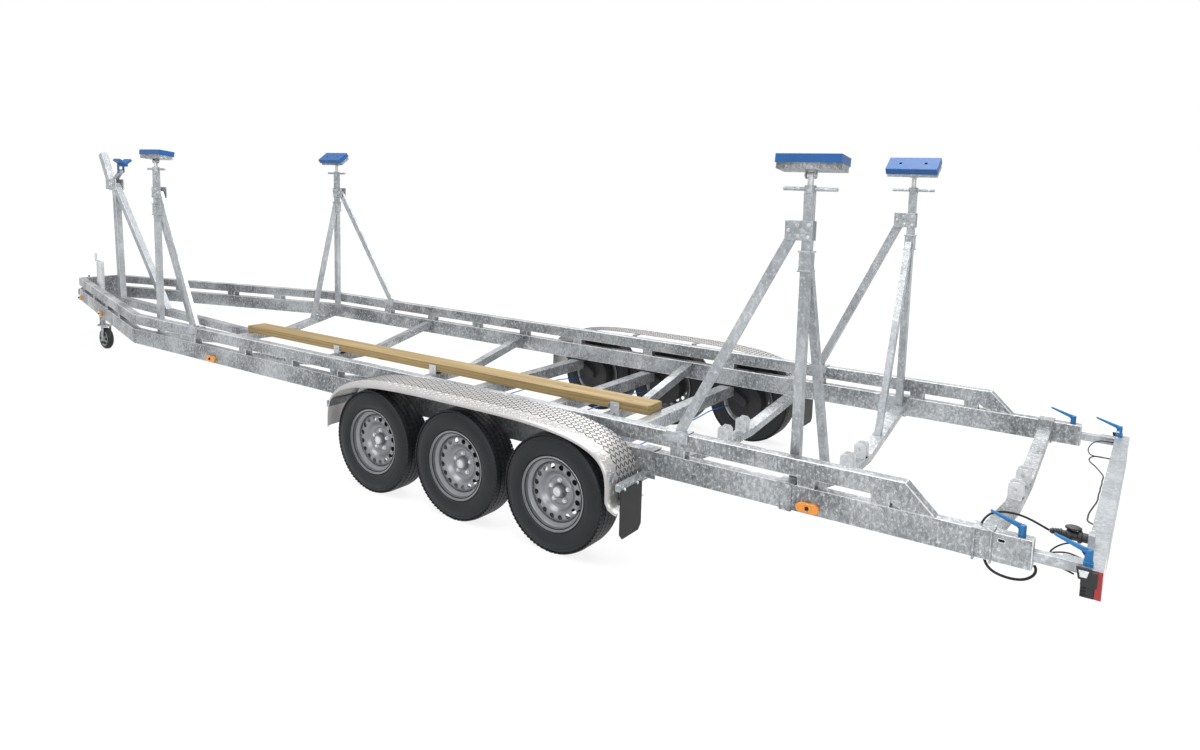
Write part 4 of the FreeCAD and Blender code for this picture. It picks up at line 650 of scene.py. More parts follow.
class TrailerSettings(bpy.types.PropertyGroup):
    """Sizes and levels of the trailer's fine parts."""
    edge_round: FloatProperty(name="Tube corner", description="Radius of the steel tubes' corners",
                              default=0.005, min=0.001, max=0.01, unit="LENGTH")
    plate_round: FloatProperty(name="Plate edge", description="Radius of thin plates' edges",
                               default=0.0012, min=0.0005, max=0.003, unit="LENGTH")
    lug_pitch: FloatProperty(name="Lug pitch", description="Distance between the tread plate's lugs",
                             default=0.058, min=0.015, max=0.08, unit="LENGTH")
    tread_blocks: IntProperty(name="Tread blocks", description="Blocks round each tyre",
                              default=84, min=24, max=120)
    softbox: FloatProperty(name="Softbox power", description="Power of the studio softboxes",
                           default=1300.0, min=0.0, max=5000.0, unit="POWER")
    floor_colour: FloatVectorProperty(name="Floor colour", description="Colour of the studio floor",
                                      default=(0.9, 0.9, 0.9), size=3, subtype="COLOR", min=0, max=1)


def settings():
    """The scene's trailer settings."""
    return bpy.context.scene.trailer_settings


# Stage

CAMERA_LENS = 25.2                          # millimetres, as the sensor's width is
CAMERA_SENSOR = 36
CAMERA_SHIFT = (-0.0023, -0.0848)
CAMERA_PLACE = (MID_X - 3.140, 4.491, 1.8935)
CAMERA_TURN = (-55.903, -6.466, 1.530)      # yaw, pitch and roll in degrees
SKY_LEVEL = 0.25
FLOOR_HALF = 60
FLOOR_TOP = -0.0005                         # just under the wheels
FLOOR_GLOW = 1.06
FLOOR_FADE = (4.5, 9.0)                     # distance from the middle over which the floor turns white
SOFTBOXES = (                               # name, place, target, size, share of the set power
    ("key_softbox", (-2, 1, 8), (0, 0, 0.6), (14, 6), 1.0),
    ("side_softbox", (-8, 8, 4), (-1, 0, 0.6), (5, 4), 0.22),
    ("back_softbox", (1, -9, 7), (0, 0, 0.6), (9, 4), 0.25),
)


def camera_axes(yaw, pitch, roll):
    """Right, up and ahead of a camera turned by three angles."""
    ahead = Vector((math.cos(pitch) * math.cos(yaw), math.cos(pitch) * math.sin(yaw), math.sin(pitch)))
    right = Vector((math.sin(yaw), -math.cos(yaw), 0))
    up = right.cross(ahead)
    return (right * math.cos(roll) + up * math.sin(roll), up * math.cos(roll) - right * math.sin(roll), ahead)


def place_camera():
    """Camera fitted to the trailer's straight members."""
    data = bpy.data.cameras.new("camera")
    data.lens = CAMERA_LENS
    data.sensor_width = CAMERA_SENSOR
    data.shift_x, data.shift_y = CAMERA_SHIFT
    data.clip_end = 200
    camera = placed("camera", data)
    right, up, ahead = camera_axes(*(math.radians(angle) for angle in CAMERA_TURN))
    turn = Matrix((right, up, -ahead)).transposed().to_4x4()
    camera.matrix_world = Matrix.Translation(CAMERA_PLACE) @ turn
    bpy.context.scene.camera = camera


def softbox(name, place, target, size, power):
    """Rectangular studio light aimed at a target."""
    data = bpy.data.lights.new(name, "AREA")
    data.shape = "RECTANGLE"
    data.size, data.size_y = size
    data.energy = power
    lamp = placed(name, data)
    lamp.location = place
    lamp.rotation_euler = (Vector(target) - Vector(place)).to_track_quat("-Z", "Y").to_euler()


def seen_directly(tree):
    """1 for camera, glossy and transmission rays, else 0."""
    path = shader_node(tree, "LightPath")
    both = maths(tree, "MAXIMUM", path.outputs["Is Camera Ray"], path.outputs["Is Glossy Ray"])
    return maths(tree, "MAXIMUM", both, path.outputs["Is Transmission Ray"])


def light_world():
    """White where it is seen directly, and a soft sky for the rest."""
    world = bpy.data.worlds.new("studio")
    bpy.context.scene.world = world
    world.use_nodes = True
    tree = world.node_tree
    tree.nodes.clear()
    sky = shader_node(tree, "Background", {"Color": (0.93, 0.96, 1.0, 1), "Strength": SKY_LEVEL})
    white = shader_node(tree, "Background", {"Color": (1, 1, 1, 1), "Strength": 1.0})
    mix = shader_node(tree, "MixShader", {0: seen_directly(tree), 1: sky.outputs[0], 2: white.outputs[0]})
    shader_node(tree, "OutputWorld", {0: mix.outputs[0]})


def lay_floor():
    """Pale floor with soft shadows near the trailer, which glows white further out."""
    work = bmesh.new()
    block(work, (-FLOOR_HALF, -FLOOR_HALF, -0.05), (FLOOR_HALF, FLOOR_HALF, FLOOR_TOP))
    made = add_object("studio_floor", work, None)
    finish = Finish("studio_floor", tuple(settings().floor_colour), 0.9)
    tree = finish.tree
    glow = shader_node(tree, "Emission", {"Color": (1, 1, 1, 1), "Strength": FLOOR_GLOW})
    reach = shader_node(tree, "VectorMath", {0: object_vector(tree)}, operation="LENGTH")
    fade = shader_node(tree, "MapRange", {"Value": reach.outputs["Value"], "From Min": FLOOR_FADE[0],
                                          "From Max": FLOOR_FADE[1], "To Min": 0.8, "To Max": 1.0})
    share = maths(tree, "MULTIPLY", seen_directly(tree), fade.outputs["Result"])
    mix = shader_node(tree, "MixShader", {0: share, 1: finish.shader.outputs[0], 2: glow.outputs[0]})
    tree.links.new(mix.outputs[0], tree.nodes["Material Output"].inputs[0])
    made.data.materials.append(finish.material)


class TRAILER_OT_stage(bpy.types.Operator):
    """Set up the camera, the softboxes, the world and the floor"""
    bl_idname = "trailer.stage"
    bl_label = "Stage"

    def execute(self, context):
        place_camera()
        light_world()
        lay_floor()
        for name, place, target, size, share in SOFTBOXES:
            softbox(name, place, target, size, settings().softbox * share)
        context.scene.view_settings.view_transform = "Standard"
        return {"FINISHED"}


# Steel frame and light bar

RAIL_STEEL = ("side_rail_left", "side_rail_right", "top_rail_left", "top_rail_right")
PLATE_STEEL = ("drawbar", "bow_crossmember", "plain_crossmembers", "keel_crossmember_front",
               "keel_crossmember_middle", "keel_crossmember_rear", "mudguard_brackets")
RAIL_ROUND = 0.7            # share of the set tube corner
RIVET_X = MID_X - 2.981
RIVET_YS = (-0.90, -0.77, -0.063, 0.063, 0.643, 0.77)
RIVET_TWIST = 0.3
ARM_REACH = 0.075           # the axles' black arms begin this far inside the rail's outer face
EAR_FACE_AREA = 0.009       # square metres: the beam's own faces are larger
EAR_HALF_SPAN = 0.7         # the ears stand nearer to the middle than this
EAR_STEEPNESS = 0.5         # their faces' normals rise less than this


class TRAILER_OT_frame(bpy.types.Operator):
    """Round and galvanise the rails, the cross members, the axles and the light bar"""
    bl_idname = "trailer.frame"
    bl_label = "Steel frame"

    def execute(self, context):
        plate_round = settings().plate_round
        for node in RAIL_STEEL:
            dressed(node, "zinc", settings().edge_round * RAIL_ROUND)
        for node in PLATE_STEEL:
            made = dressed(node, "zinc", plate_round)
            # painted light on the keel ears' upright faces
            if node.startswith("keel"):
                self.painted_lit_ears(made)
        dressed("light_bar", "zinc_tube", plate_round)
        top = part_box("light_bar")[1].z
        spots = [(Vector((RIVET_X, y, top)), (0, 0, 1), RIVET_TWIST) for y in RIVET_YS]
        scattered("bar_rivets", "bolts", spots, "bolt", "light_board", head_radius=0.0065, reach=0.006)
        self.black_arms(dressed("axles", "zinc", plate_round))
        return {"FINISHED"}

    def black_arms(self, axles):
        """The axles' arms and stubs are black, their beams galvanised."""
        rail_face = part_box("side_rail_left")[1].y
        axles.data.materials.append(finish_named("drum"))
        for face in axles.data.polygons:
            if abs(face.center.y) > rail_face - ARM_REACH:
                face.material_index = 1

    def painted_lit_ears(self, made):
        """The ears' small upright faces get the paler zinc, painted light that makes them look lit."""
        made.data.materials.append(finish_named("zinc_edge"))
        for face in made.data.polygons:
            upright = abs(face.normal.z) < EAR_STEEPNESS
            if upright and face.area < EAR_FACE_AREA and abs(face.center.y) < EAR_HALF_SPAN:
                face.material_index = 1


# Hull stands

CLAMP_FACE = 0.0281                         # half of the clamp's width over its cheeks
CLAMP_BOLTS = ((-0.012, 1.656), (-0.012, 1.710), (0.034, 1.660), (0.080, 1.684), (0.040, 1.708))
CLAMP_TWIST = 0.4
PAD_SPLIT = 0.0472                          # the blue block begins this far above the pin
PAD_LEAN = {"left": 8, "right": 36}         # degrees at rest
PAD_ROUND = 0.0015
SCREW_ROUND = 0.0008
BOW_PAD_ROUND = 0.004


class TRAILER_OT_stands(bpy.types.Operator):
    """Dress the four hull stands, their screws and blue pads, and the bow stand"""
    bl_idname = "trailer.stands"
    bl_label = "Hull stands"

    def execute(self, context):
        for end, side in STANDS:
            dressed(f"stand_{end}_{side}", "zinc_tube", settings().plate_round)
            dressed(f"pad_screw_{end}_{side}", "bolt", SCREW_ROUND)
            pin = Vector(JOINTS[f"pad_{end}_{side}_tilt"]["pos_m"])
            self.pad(end, side, pin)
            self.clamp_bolts(end, side, pin)
        dressed("bow_stand", "zinc_tube", settings().plate_round * 2)
        dressed("bow_pad", "blue", BOW_PAD_ROUND, 3)
        return {"FINISHED"}

    def clamp_bolts(self, end, side, pin):
        """Bolts through both cheeks of the clamp that holds the long brace."""
        way = 1 if end == "rear" else -1
        spots = [(Vector((pin.x + along * way, pin.y + CLAMP_FACE * face, z)), (0, face, 0), CLAMP_TWIST)
                 for face in (1, -1) for along, z in CLAMP_BOLTS]
        scattered(f"clamp_bolts_{end}_{side}", "bolts", spots, "bolt", "chassis",
                  head_radius=0.0085, reach=0.012)

    def pad(self, end, side, pin):
        """Blue block on its steel channel, told apart by height above the tilted channel."""
        node = f"hull_pad_{end}_{side}"
        lean = math.radians(PAD_LEAN[side]) * SIDES[side]
        square = Matrix.Translation(pin) @ Matrix.Rotation(-lean, 4, "X") @ Matrix.Translation(-pin)
        made = add_object(node + "_finished", node_mesh(node), "blue")
        made.data.materials.append(finish_named("zinc"))
        for face in made.data.polygons:
            level = (square @ face.center).z - pin.z
            face.material_index = 0 if level > PAD_SPLIT else 1
        bevelled(made, PAD_ROUND)
        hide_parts(node)
        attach(made, f"pad_{end}_{side}")


# Wheels: profiles of (along the axle, radius) points

TYRE_PROFILE = (            # half of it, up to the middle of the tread
    (-0.0735, 0.1782), (-0.0730, 0.1880), (-0.0735, 0.1962), (-0.0780, 0.1990), (-0.0835, 0.2040),
    (-0.0845, 0.2080), (-0.0880, 0.2140), (-0.0905, 0.2260), (-0.0917, 0.2400), (-0.0912, 0.2430),
    (-0.0917, 0.2460), (-0.0900, 0.2600), (-0.0860, 0.2720), (-0.0835, 0.2780), (-0.0850, 0.2800),
    (-0.0825, 0.2860), (-0.0785, 0.2940), (-0.0735, 0.2990), (-0.0660, 0.3015), (-0.0450, 0.3012),
    (-0.0200, 0.3014), (0.0, 0.3014),
)
RIM_PROFILE = (             # from the outer flange in to the well, then back under it from the inner flange
    (0.0795, 0.1900), (0.0800, 0.1930), (0.0785, 0.1948), (0.0760, 0.1945), (0.0742, 0.1915),
    (0.0738, 0.1860), (0.0720, 0.1800), (0.0600, 0.1770), (0.0540, 0.1765), (0.0500, 0.1720),
    (0.0465, 0.1640), (0.0430, 0.1590), (0.0380, 0.1570), (0.0300, 0.1562), (-0.06, 0.1600),
    (-0.0795, 0.1900), (-0.0790, 0.1945), (-0.0745, 0.1935), (-0.0738, 0.1850), (-0.0600, 0.1775),
    (0.0, 0.1640), (0.0400, 0.1770), (0.0700, 0.1774), (0.0735, 0.1900),
)
DISC_PROFILE = (            # its outer face, from the well to the hub's opening
    (0.0290, 0.1570), (0.0335, 0.1545), (0.0385, 0.1480), (0.0410, 0.1400), (0.0420, 0.1330),
    (0.0415, 0.1240), (0.0390, 0.1160), (0.0340, 0.1080), (0.0255, 0.1000), (0.0170, 0.0930),
    (0.0120, 0.0870), (0.0095, 0.0800), (0.0090, 0.0740), (0.0110, 0.0715), (0.0125, 0.0690),
    (0.0125, 0.0430), (0.0110, 0.0400), (0.0080, 0.0360), (0.0060, 0.0300),
)
DISC_THICKNESS = 0.005
RIM_HOLES = 16
RIM_HOLE_CIRCLE = 0.1330
RIM_HOLE_RADIUS = 0.0146
TREAD_ROWS = ((-0.0655, 0.3016, -0.16), (-0.0332, 0.3034, 0), (0, 0.3036, 0), (0.0332, 0.3034, 0),
              (0.0655, 0.3016, 0.16))                       # place across, radius, lean of the blocks
STUDS = 5
STUD_CIRCLE = 0.056
STUD_FACE = 0.0125
STUD_TWIST = 0.3
VALVE_CIRCLE = 0.163
VALVE_TURN = math.radians(200)
HUB_PARTS = (               # name, finish, steps round the axle, profile
    ("drum", "drum", 72, ((-0.108, 0.122), (-0.106, 0.1275), (-0.062, 0.1275), (-0.058, 0.124),
                          (-0.02, 0.124), (-0.012, 0.118), (-0.004, 0.085), (0.006, 0.072))),
    ("hub_ring", "paint", 48, ((0.004, 0.0325), (0.030, 0.0320), (0.034, 0.0300), (0.035, 0.0270),
                               (0.0335, 0.0262))),
    ("hub_cap", "bolt", 48, ((0.030, 0.0262), (0.0350, 0.0258), (0.0405, 0.0235), (0.0435, 0.0180),
                             (0.0455, 0.0080))),
    ("valve", "rubber", 16, ((0.036, 0.0052), (0.060, 0.0048), (0.062, 0.0038), (0.072, 0.0038))),
)


def tyre_body(centre):
    """Tyre without its tread blocks, grooved for its bead and shoulder lines."""
    work = bmesh.new()
    mirrored = [(-along, radius) for along, radius in reversed(TYRE_PROFILE[:-1])]
    lathe(work, list(TYRE_PROFILE) + mirrored, centre, 120, closed=True)
    return add_object("tyre_body", work, "tyre", 40)


def tread_spots(centre, blocks):
    """Five rows of blocks round the tyre, the outer rows over the shoulder."""
    spots = []
    for row, (y, radius, lean) in enumerate(TREAD_ROWS):
        for x, z in circle(blocks, start=math.pi * (row % 2) / blocks):
            place = centre + Vector((radius * x, y, radius * z))
            spots.append((place, Vector((x, math.tan(lean), z)), 0.0))
    return spots


def rim_shell(centre, side):
    """Flanged rim, outer flange towards the side given."""
    work = bmesh.new()
    lathe(work, facing(RIM_PROFILE, side), centre, 96, closed=True)
    return add_object("rim_shell", work, "paint", 32)


def rim_disc(centre, side):
    """Dished disc with its ring of round openings."""
    work = bmesh.new()
    back = [(along - DISC_THICKNESS, radius) for along, radius in reversed(DISC_PROFILE)]
    lathe(work, facing(list(DISC_PROFILE) + back, side), centre, 96, closed=True)
    disc = add_object("rim_disc", work, "paint", 32)
    cutter = bmesh.new()
    through = [(0.0, RIM_HOLE_RADIUS), (0.06 * side, RIM_HOLE_RADIUS)]
    for x, z in circle(RIM_HOLES, RIM_HOLE_CIRCLE, math.pi / RIM_HOLES):
        lathe(cutter, through, centre + Vector((x, 0, z)), 20)
    tool = add_object("rim_hole_cutter", cutter, None)
    cut = disc.modifiers.new("holes", "BOOLEAN")
    cut.operation = "DIFFERENCE"
    cut.solver = "EXACT"
    cut.object = tool
    add_bevel(disc, 0.0009, 1, 50)
    baked(disc, "paint", 32)
    bpy.data.objects.remove(tool)
    return disc


def copied(source, name, offset):
    """Copy of an object with its mesh moved."""
    mesh = source.data.copy()
    mesh.transform(Matrix.Translation(offset))
    mesh.name = name
    return placed(name, mesh)


class TRAILER_OT_wheels(bpy.types.Operator):
    """Build the six tyres with their tread and the six pierced steel rims"""
    bl_idname = "trailer.wheels"
    bl_label = "Wheels"

    def execute(self, context):
        blocks = settings().tread_blocks
        for side, way in SIDES.items():
            first = hub_of(side, WHEELS[0])
            shell = rim_shell(first, way)
            disc = rim_disc(first, way)
            tyre = tyre_body(first)
            tread = scattered("tread", "tread", tread_spots(first, blocks), "tyre", None, 30,
                              length=0.0212, width=0.0282, rise=0.0066)
            for word in WHEELS:
                hub = hub_of(side, word)
                casing = copied(tyre, f"tyre_casing_{side}_{word}", hub - first)
                ring = copied(shell, f"rim_shell_{side}_{word}", hub - first)
                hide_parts(f"tyre_{side}_{word}")
                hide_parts(f"rim_{side}_{word}")
                parts = [casing, ring, copied(tread, f"tyre_tread_{side}_{word}", hub - first),
                         copied(disc, f"rim_disc_{side}_{word}", hub - first)]
                for part in parts + self.hub_parts(hub, side, word):
                    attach(part, f"wheel_{side}_{word}")
                self.studs(hub, side, word)
            for spare in (shell, disc, tyre, tread):
                bpy.data.objects.remove(spare)
        return {"FINISHED"}

    def hub_parts(self, hub, side, word):
        """Drum, hub ring, hub cap and valve of one wheel."""
        valve = hub + Vector((VALVE_CIRCLE * math.cos(VALVE_TURN), 0, VALVE_CIRCLE * math.sin(VALVE_TURN)))
        parts = []
        for name, finish, steps, profile in HUB_PARTS:
            work = bmesh.new()
            lathe(work, facing(profile, SIDES[side]), valve if name == "valve" else hub, steps)
            parts.append(add_object(f"{name}_{side}_{word}", work, finish))
        return parts

    def studs(self, hub, side, word):
        """Wheel bolts on their circle, the first one at the top."""
        way = SIDES[side]
        spots = [(hub + Vector((x, STUD_FACE * way, z)), (0, way, 0), STUD_TWIST * i)
                 for i, (x, z) in enumerate(circle(STUDS, STUD_CIRCLE, math.pi / 2))]
        scattered(f"wheel_bolts_{side}_{word}", "bolts", spots, "bolt", f"wheel_{side}_{word}",
                  head_radius=0.0105, reach=0.011)


# Mudguards

GUARD_POWER = 3.7                           # squareness of the side curve: 2 is an ellipse
GUARD_FRONT_END = 0.330                     # heights of the side curve's ends
GUARD_REAR_END = 0.350
GUARD_SAMPLES = 1200
GUARD_STATIONS = 150
LIP_STEPS = 8
LIP_REACH = 0.040                           # the rear end's lip runs back and down by these
LIP_DROP = 0.014
EDGE_STRIP = 0.002
FLAT_STEPS = 6
SHOULDER_STEPS = 7
SHOULDER_WIDTH = 0.088
SHOULDER_DROP = 0.034
SHEET = 0.0025
BEAD = 0.0022
LUG_MARGIN = 0.008
LUG_STEP = 0.5                              # shares of the lug pitch, along and across the guard
LUG_ROW = 0.31
LUG_FILL = 0.46                             # half a lug's length as a share of the zigzag's leg
LUG_SINK = 0.0002
REAR_ARM_X = MID_X - 1.074
REAR_ARM_Z = 0.436
REAR_ARM_HALF = 0.017
ARM_FOOT_HALF = 0.050
ARM_FOOT_FACES = (0.0005, 0.0065)           # distances from the rail's face
FLAP_BOLT_INSETS = (0.150, 0.035)


def guard_point(along, front, rear, crown):
    """Place on the guard's side curve at a parameter from -1 (rear end) to 1 (front end)."""
    reach, end_z = front if along >= 0 else rear
    turn = math.pi / 2 * (1 - abs(along))
    across = math.cos(turn) ** (2 / GUARD_POWER) if abs(along) > 1e-9 else 0.0
    up = math.sin(turn) ** (2 / GUARD_POWER) if abs(along) < 1 else 0.0
    return Vector((MID_X + math.copysign(reach * across, along), 0, end_z + (crown - end_z) * up))


class TRAILER_OT_mudguards(bpy.types.Operator):
    """Roll the two tread-plate mudguards, set their lugs and hang them on their rear arms"""
    bl_idname = "trailer.mudguards"
    bl_label = "Mudguards"

    def execute(self, context):
        for side, way in SIDES.items():
            self.guard(side, way)
        return {"FINISHED"}

    def curve(self, node, steps):
        """Equal steps along the guard's side view: outer places, outward directions and the whole length."""
        low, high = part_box(node)
        front, rear = (high.x - MID_X, GUARD_FRONT_END), (MID_X - low.x, GUARD_REAR_END)
        arch = [guard_point(-1 + 2 * i / GUARD_SAMPLES, front, rear, high.z)
                for i in range(GUARD_SAMPLES + 1)]
        lip = []
        for i in range(LIP_STEPS, 0, -1):
            fall = math.sin(math.pi / 2 * i / LIP_STEPS)
            lip.append(arch[0] + Vector((-LIP_REACH * i / LIP_STEPS, 0, -LIP_DROP * fall)))
        dense = lip + arch
        lengths = [0.0]
        for a, b in zip(dense, dense[1:]):
            lengths.append(lengths[-1] + (b - a).length)
        stations = []
        j = 0
        for i in range(steps + 1):
            want = lengths[-1] * i / steps
            while j < len(dense) - 2 and lengths[j + 1] < want:
                j += 1
            share = (want - lengths[j]) / max(lengths[j + 1] - lengths[j], 1e-9)
            stations.append(dense[j].lerp(dense[j + 1], min(max(share, 0), 1)))
        outs = []
        for i in range(steps + 1):
            run = stations[min(i + 1, steps)] - stations[max(i - 1, 0)]
            outs.append(Vector((-run.z, 0, run.x)).normalized())
        return stations, outs, lengths[-1]

    def section(self, inner, outer):
        """(y, inset) points across the guard: inner edge, flat top, rounded outer shoulder."""
        flat_end = outer - SHOULDER_WIDTH
        points = [(inner, 0.0), (inner + EDGE_STRIP, 0.0)]
        points += [(inner + (flat_end - inner) * i / FLAT_STEPS, 0.0) for i in range(1, FLAT_STEPS + 1)]
        for i in range(1, SHOULDER_STEPS + 1):
            turn = math.pi / 2 * i / SHOULDER_STEPS
            points.append((flat_end + SHOULDER_WIDTH * math.sin(turn), SHOULDER_DROP * (1 - math.cos(turn))))
        return points

    def guard(self, side, way):
        """One guard: its sheet, bead, lugs and rear arm."""
        node = f"mudguard_{side}"
        low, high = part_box(node)
        inner, outer = (low.y, high.y) if way > 0 else (-high.y, -low.y)
        stations, outs, length = self.curve(node, GUARD_STATIONS)
        section = self.section(inner, outer)
        work = bmesh.new()
        rows = [[work.verts.new(place - out * inset + Vector((0, y * way, 0))) for y, inset in section]
                for place, out in zip(stations, outs)]
        for first, second in zip(rows, rows[1:]):
            for i in range(len(section) - 1):
                work.faces.new((first[i], first[i + 1], second[i + 1], second[i]))
        made = add_object(f"{node}_sheet", work, "tread", 40)
        solid = made.modifiers.new("sheet", "SOLIDIFY")
        solid.thickness = SHEET
        solid.offset = -1
        baked(made, "tread", 40)
        self.grown_inwards(made, stations)
        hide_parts(node)
        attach(made, "chassis")
        self.bead(side, way, stations, outs, outer)
        self.lugs(side, way, node, section, length)
        self.rear_arm(side, way, outer)

    def grown_inwards(self, made, stations):
        """Solidify goes inwards only where the sheet's faces point outwards."""
        top = max(vertex.co.z for vertex in made.data.vertices)
        if top > max(place.z for place in stations) + 0.001:
            raise RuntimeError("the guard's sheet grew outwards")

    def bead(self, side, way, stations, outs, outer):
        """Rolled edge along the guard's outer skirt."""
        work = bmesh.new()
        sections = []
        for place, out in zip(stations, outs):
            middle = place - out * SHOULDER_DROP + Vector((0, (outer - BEAD) * way, 0))
            sections.append([middle + out * BEAD * across + Vector((0, BEAD * way * aside, 0))
                             for across, aside in circle(8)])
        loft(work, sections)
        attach(add_object(f"guard_bead_{side}", work, "tread", 60), "chassis")

    def lugs(self, side, way, node, section, length):
        """Zigzag rows of lugs, every other row mirrored, over the flat top and the shoulder, the flat top's
        lugs painted dark as shade.
        """
        pitch = settings().lug_pitch
        step, row = pitch * LUG_STEP, pitch * LUG_ROW
        angle, half = math.atan2(row, step), LUG_FILL * math.hypot(row, step)
        count = int(length / step)
        stations, outs, _ = self.curve(node, count)
        across = [0.0]
        for (y0, s0), (y1, s1) in zip(section, section[1:]):
            across.append(across[-1] + math.hypot(y1 - y0, s1 - s0))
        flat, shoulder = [], []
        for i in range(2, count - 1):
            for j in range(int((across[-1] - LUG_MARGIN) / row)):
                want = LUG_MARGIN + row * j
                k = max(n for n in range(len(across) - 1) if across[n] <= want)
                share = (want - across[k]) / max(across[k + 1] - across[k], 1e-9)
                (y0, s0), (y1, s1) = section[k], section[k + 1]
                y, inset = y0 + (y1 - y0) * share, s0 + (s1 - s0) * share
                run = Vector((0, (y1 - y0) * way, 0)) - outs[i] * (s1 - s0)
                tangent = Vector((-outs[i].z, 0, outs[i].x))
                aim = run.cross(tangent).normalized()
                if aim.dot(outs[i]) < -0.1 or (aim.dot(outs[i]) < 0.1 and aim.y * way < 0):
                    aim = -aim
                place = stations[i] - outs[i] * inset + Vector((0, y * way, 0))
                spots = shoulder if inset > EDGE_STRIP else flat
                spots.append((place - aim * LUG_SINK, aim, angle if (i + j) % 2 else -angle))
        # the flat top's lugs are near black as painted shade; the shoulder's keep the sheet's finish
        for name, spots, finish in (("guard_lugs", flat, "lug"), ("shoulder_lugs", shoulder, "tread")):
            scattered(f"{name}_{side}", "lugs", spots, finish, "chassis", 60,
                      half_length=half, half_width=0.0042, rise=0.0021)

    def rear_arm(self, side, way, outer):
        """Arm from the lower rail out to the guard's rear end, with the flap's bolts."""
        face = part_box("side_rail_left")[1].y
        x, z, half = REAR_ARM_X, REAR_ARM_Z, REAR_ARM_HALF
        work = bmesh.new()
        near, far = sorted((face * way, (outer - 0.008) * way))
        block(work, (x - half, near, z - half), (x + half, far, z + half))
        near, far = sorted((face + depth) * way for depth in ARM_FOOT_FACES)
        block(work, (x - ARM_FOOT_HALF, near, z - 0.019), (x + ARM_FOOT_HALF, far, z + 0.075))
        arm = add_object(f"guard_rear_arm_{side}", work, "zinc")
        bevelled(arm, 0.002)
        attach(arm, "chassis")
        spots = [(Vector((x - half - 0.0005, (outer - inset) * way, z - 0.006)), (-1, 0, 0), 0.0)
                 for inset in FLAP_BOLT_INSETS]
        scattered(f"flap_bolts_{side}", "bolts", spots, "bolt", "chassis", head_radius=0.008, reach=0.010)


# Keel plank

CLEAT_STATIONS = (2.455, 1.35, -0.285)
CLEAT_HALF = 0.034
CLEAT_FACES = (0.0062, 0.0102)              # distances from the plank's side
CLEAT_DEPTHS = (0.098, 0.012)               # lower and upper edge, below the plank's top
CLEAT_BOLT_DEPTH = 0.036
CLEAT_TWIST = 0.2


class TRAILER_OT_plank(bpy.types.Operator):
    """Lay the treated pine keel plank with its cleats"""
    bl_idname = "trailer.plank"
    bl_label = "Keel plank"

    def execute(self, context):
        dressed("keel_plank", "pine", 0.003)
        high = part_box("keel_plank")[1]
        work = bmesh.new()
        spots = []
        for x in (MID_X + station for station in CLEAT_STATIONS):
            for way in (1, -1):
                near, far = sorted((high.y + depth) * way for depth in CLEAT_FACES)
                block(work, (x - CLEAT_HALF, near, high.z - CLEAT_DEPTHS[0]),
                      (x + CLEAT_HALF, far, high.z - CLEAT_DEPTHS[1]))
                bolt = Vector((x, (high.y + CLEAT_FACES[1]) * way, high.z - CLEAT_BOLT_DEPTH))
                spots.append((bolt, (0, way, 0), CLEAT_TWIST))
        plates = add_object("plank_cleats", work, "bolt")
        bevelled(plates, 0.0012)
        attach(plates, "chassis")
        scattered("plank_bolts", "bolts", spots, "bolt", "chassis", head_radius=0.0075, reach=0.008)
        return {"FINISHED"}


# Coupling and jockey wheel

NOSE_PIECES = (("coupling_head", "zinc_dark", 0.0015), ("overrun_housing", "black", 0.0012),
               ("jockey_tube", "bolt", 0.0012), ("jockey_fork", "zinc", 0.001),
               ("jockey_wheel", "rubber", 0.003))
JOCKEY_HUB_PROFILE = (      # outwards from the tyre's side, radius
    (-0.004, 0.079), (0.002, 0.078), (0.004, 0.074), (0.0015, 0.068), (0.001, 0.040), (0.003, 0.030),
    (0.008, 0.026), (0.009, 0.012),
)
HUB_BOSSES = 6
BOSS_OVAL = (0.053, 0.052)
BOSS_FACE = 0.0005


class TRAILER_OT_nose(bpy.types.Operator):
    """Dress the coupling, the overrun housing and the jockey wheel"""
    bl_idname = "trailer.nose"
    bl_label = "Coupling and jockey wheel"

    def execute(self, context):
        for node, finish, width in NOSE_PIECES:
            dressed(node, finish, width)
        low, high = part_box("jockey_wheel")
        middle, half = middle_of("jockey_wheel"), (high.y - low.y) / 2
        body = NODES["jockey_wheel"]["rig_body"]
        work = bmesh.new()
        for way in (1, -1):
            outline = [(half + along, radius) for along, radius in JOCKEY_HUB_PROFILE]
            lathe(work, facing(outline, way), middle, 40)
        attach(add_object("jockey_hub", work, "paint", 30), body)
        spots = []
        for x, z in circle(HUB_BOSSES):
            for way in (1, -1):
                boss = Vector((BOSS_OVAL[0] * x, (half + BOSS_FACE) * way, BOSS_OVAL[1] * z))
                spots.append((middle + boss, (0, way, 0), 0))
        scattered("jockey_hub_bosses", "bolts", spots, "drum", body, head_radius=0.0115, reach=0.003)
        return {"FINISHED"}


# Lamps, levers, flaps and plug

LAMP_PIECES = (("tail_lamps", "black", 0.002, 2), ("tail_lenses", "red", 0.002, 3),
               ("marker_lamps", "amber", 0.002, 3), ("rail_levers", "lever_blue", 0.003, 3),
               ("bar_levers", "lever_blue", 0.003, 3))
FLAP_LOW = 0.187
FLAP_STRETCH = 1.14
FLAP_BACK = 0.052                           # the flaps hang this far behind the solid's place
FLAP_ASIDE = 0.040                          # and this far outside it
SIDE_LAMP = (MID_X - 2.975, 0.500)          # x and z of the side lamp's middle
SIDE_LAMP_PARTS = (                         # name, finish, half width, half height, inner and outer face
    ("side_lamp_rims", "black", 0.026, 0.023, -0.004, 0.004),
    ("side_lamp_panes", "clear", 0.017, 0.013, 0.002, 0.0065),
)
SIDE_LAMP_CORNERS = ((1.0, 1.0), (-1.0, 1.0), (-0.66, -1.0), (0.66, -1.0))
LAMP_RIBS = 4
RIB_PITCH = 0.014
RIB_FACES = (0.0185, 0.0150)                # distances inside the housing's end
PLUG_AXIS = (Vector((MID_X - 2.8285, 0.791, 0.539)), Vector((MID_X - 2.966, 0.790, 0.538)))
